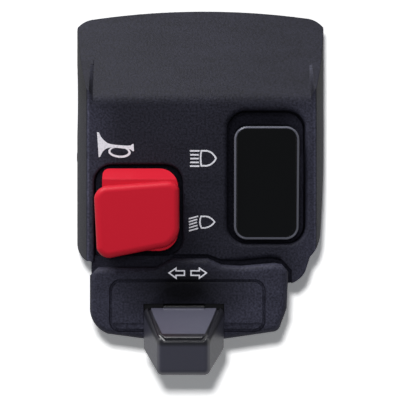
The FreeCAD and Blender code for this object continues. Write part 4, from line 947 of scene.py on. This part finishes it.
class CLUSTER_OT_stage(bpy.types.Operator):
    """Sets the camera, the soft boxes, the white card behind the cluster and the room"""

    bl_idname = "cluster.stage"
    bl_label = "Camera, Lights and Card"

    def execute(self, context):
        scene = context.scene
        settings = scene.cluster_stage
        scene.view_settings.view_transform = "Standard"
        centre = (0.0, 0.0, settings.view_height)
        camera = bpy.data.cameras.new("camera")
        camera.lens = camera.sensor_width * settings.camera_distance / settings.view_width
        camera.clip_start = 0.01
        holder = bpy.data.objects.new("camera", camera)
        holder.location = (0.0, FACE_Y - settings.camera_distance, settings.view_height)
        holder.rotation_euler = (np.pi / 2, 0.0, 0.0)
        scene.collection.objects.link(holder)
        scene.camera = holder
        card = white_card()
        for name, (place, size) in LAMPS.items():
            power = getattr(settings, f"{name}_watts")
            lamp = soft_box(f"{name}_light", place, centre, size, power)
            # the fill and the back light leave no reflection of their own
            lamp.visible_glossy = name not in ("fill", "back")
            group = link_light(lamp, card, "INCLUDE" if name == "card" else "EXCLUDE")
            if name == "back":
                # the card stands between this lamp and the cluster, so it throws no shadow here
                lamp.light_linking.blocker_collection = group
        room(scene, settings.ambient)
        return {"FINISHED"}


def soft_box(name, place, target, size, power):
    """A square area light at place that faces target."""
    light = bpy.data.lights.new(name, "AREA")
    light.size = size
    light.energy = power
    made = bpy.data.objects.new(name, light)
    toward = np.subtract(target, place)
    toward /= np.linalg.norm(toward)
    made.location = place
    made.rotation_euler = (np.arccos(-toward[2]), 0.0, np.arctan2(-toward[0], toward[1]))
    bpy.context.scene.collection.objects.link(made)
    return made


def link_light(lamp, card, state):
    """Light linking: lamp lights the card alone (INCLUDE) or everything but the card (EXCLUDE).
    Returns the linking group."""
    group = bpy.data.collections.new(f"{lamp.name}_card")
    group.objects.link(card)
    group.collection_objects[0].light_linking.link_state = state
    lamp.light_linking.receiver_collection = group
    return group


def seen_directly(tree):
    """1 for rays from the camera, off glossy surfaces or through clear ones, and 0 for others."""
    path = add_node(tree, "ShaderNodeLightPath").outputs
    pair = add_node(
        tree,
        "ShaderNodeMath",
        [(path["Is Camera Ray"], 0), (path["Is Glossy Ray"], 1)],
        operation="MAXIMUM",
    )
    return add_node(
        tree,
        "ShaderNodeMath",
        [(pair.outputs[0], 0), (path["Is Transmission Ray"], 1)],
        operation="MAXIMUM",
    ).outputs[0]


def white_card():
    """A white card behind the cluster: its own light lifts it to white where the object's soft
    shadow doesn't fall, and it is clear from behind. Camera rays see it twice as bright as its
    own light makes it for glossy rays, and other rays see a plain pale card."""
    y = CAD_BOX[1][1] + CARD_GAP
    mesh = bpy.data.meshes.new("white_card")
    corners = [(x * CARD_HALF, y, z * CARD_HALF) for x, z in ((-1, -1), (1, -1), (1, 1), (-1, 1))]
    mesh.from_pydata(corners, [], [(0, 1, 2, 3)])
    made = bpy.data.materials.new("white_card")
    made.use_nodes = True
    tree = made.node_tree
    tree.nodes.clear()
    plain = add_node(tree, "ShaderNodeBsdfDiffuse", values=[("Color", srgb("#e7e7e7"))])
    lit = add_node(tree, "ShaderNodeBsdfDiffuse", values=[("Color", srgb("#f0f0f0"))])
    twice = add_node(tree, "ShaderNodeAddShader", [(lit.outputs[0], 0), (lit.outputs[0], 1)])
    path = add_node(tree, "ShaderNodeLightPath").outputs
    both = add_node(
        tree,
        "ShaderNodeMixShader",
        [(path["Is Camera Ray"], 0), (lit.outputs[0], 1), (twice.outputs[0], 2)],
    )
    front = add_node(
        tree,
        "ShaderNodeMixShader",
        [(seen_directly(tree), 0), (plain.outputs[0], 1), (both.outputs[0], 2)],
    )
    back = add_node(tree, "ShaderNodeNewGeometry").outputs["Backfacing"]
    clear = add_node(tree, "ShaderNodeBsdfTransparent")
    shown = add_node(
        tree, "ShaderNodeMixShader", [(back, 0), (front.outputs[0], 1), (clear.outputs[0], 2)]
    )
    add_node(tree, "ShaderNodeOutputMaterial", [(shown.outputs[0], "Surface")])
    mesh.materials.append(made)
    card = bpy.data.objects.new("white_card", mesh)
    bpy.context.scene.collection.objects.link(card)
    return card


def room(scene, ambient):
    """The world: white for rays from the camera and, unless they point back at the camera, for
    glossy and transmission rays. It is dim for other rays."""
    world = bpy.data.worlds.new("room")
    scene.world = world
    world.use_nodes = True
    tree = world.node_tree
    tree.nodes.clear()
    dim = add_node(
        tree, "ShaderNodeBackground", values=[("Color", srgb("#f9fcff")), ("Strength", ambient)]
    )
    white = add_node(
        tree, "ShaderNodeBackground", values=[("Color", srgb("#ffffff")), ("Strength", 1.0)]
    )
    path = add_node(tree, "ShaderNodeLightPath").outputs
    ray = add_node(tree, "ShaderNodeTexCoord").outputs["Generated"]
    along = add_node(tree, "ShaderNodeSeparateXYZ", [(ray, 0)]).outputs["Y"]
    away = add_node(
        tree,
        "ShaderNodeMapRange",
        [(along, "Value")],
        [("From Min", ROOM_WHITE[0]), ("From Max", ROOM_WHITE[1])],
    )
    glossy = add_node(
        tree,
        "ShaderNodeMath",
        [(path["Is Glossy Ray"], 0), (path["Is Transmission Ray"], 1)],
        operation="MAXIMUM",
    )
    off_card = add_node(
        tree,
        "ShaderNodeMath",
        [(glossy.outputs[0], 0), (away.outputs["Result"], 1)],
        operation="MULTIPLY",
    )
    seen = add_node(
        tree,
        "ShaderNodeMath",
        [(path["Is Camera Ray"], 0), (off_card.outputs[0], 1)],
        operation="MAXIMUM",
    )
    mixed = add_node(
        tree,
        "ShaderNodeMixShader",
        [(seen.outputs[0], 0), (dim.outputs[0], 1), (white.outputs[0], 2)],
    )
    add_node(tree, "ShaderNodeOutputWorld", [(mixed.outputs[0], "Surface")])


OPERATORS = (
    CLUSTER_OT_shells,
    CLUSTER_OT_controls,
    CLUSTER_OT_works,
    CLUSTER_OT_springs,
    CLUSTER_OT_horn_symbol,
    CLUSTER_OT_beam_symbols,
    CLUSTER_OT_arrows,
    CLUSTER_OT_stage,
)


class CLUSTER_PT_panel(bpy.types.Panel):
    """Lists the settings and the steps"""

    bl_label = "Switch Cluster"
    bl_idname = "CLUSTER_PT_panel"
    bl_space_type = "VIEW_3D"
    bl_region_type = "UI"
    bl_category = "Switch Cluster"

    def draw(self, context):
        scene = context.scene
        for group in (scene.cluster_finish, scene.cluster_symbols, scene.cluster_stage):
            box = self.layout.box()
            for name in group.__annotations__:
                box.prop(group, name)
        for step in OPERATORS:
            self.layout.operator(step.bl_idname)


GROUPS = {
    "cluster_finish": FinishSettings,
    "cluster_symbols": SymbolSettings,
    "cluster_stage": StageSettings,
}


def register():
    for made in (*GROUPS.values(), *OPERATORS, CLUSTER_PT_panel):
        bpy.utils.register_class(made)
    for name, group in GROUPS.items():
        setattr(bpy.types.Scene, name, bpy.props.PointerProperty(type=group))


def unregister():
    for name in GROUPS:
        delattr(bpy.types.Scene, name)
    for made in reversed((*GROUPS.values(), *OPERATORS, CLUSTER_PT_panel)):
        bpy.utils.unregister_class(made)


def main():
    register()
    bpy.ops.cluster.shells()
    bpy.ops.cluster.controls()
    bpy.ops.cluster.works()
    bpy.ops.cluster.springs()
    bpy.ops.cluster.horn_symbol()
    bpy.ops.cluster.beam_symbols()
    bpy.ops.cluster.arrows()
    bpy.ops.cluster.stage()
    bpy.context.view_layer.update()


if __name__ == "__main__":
    main()
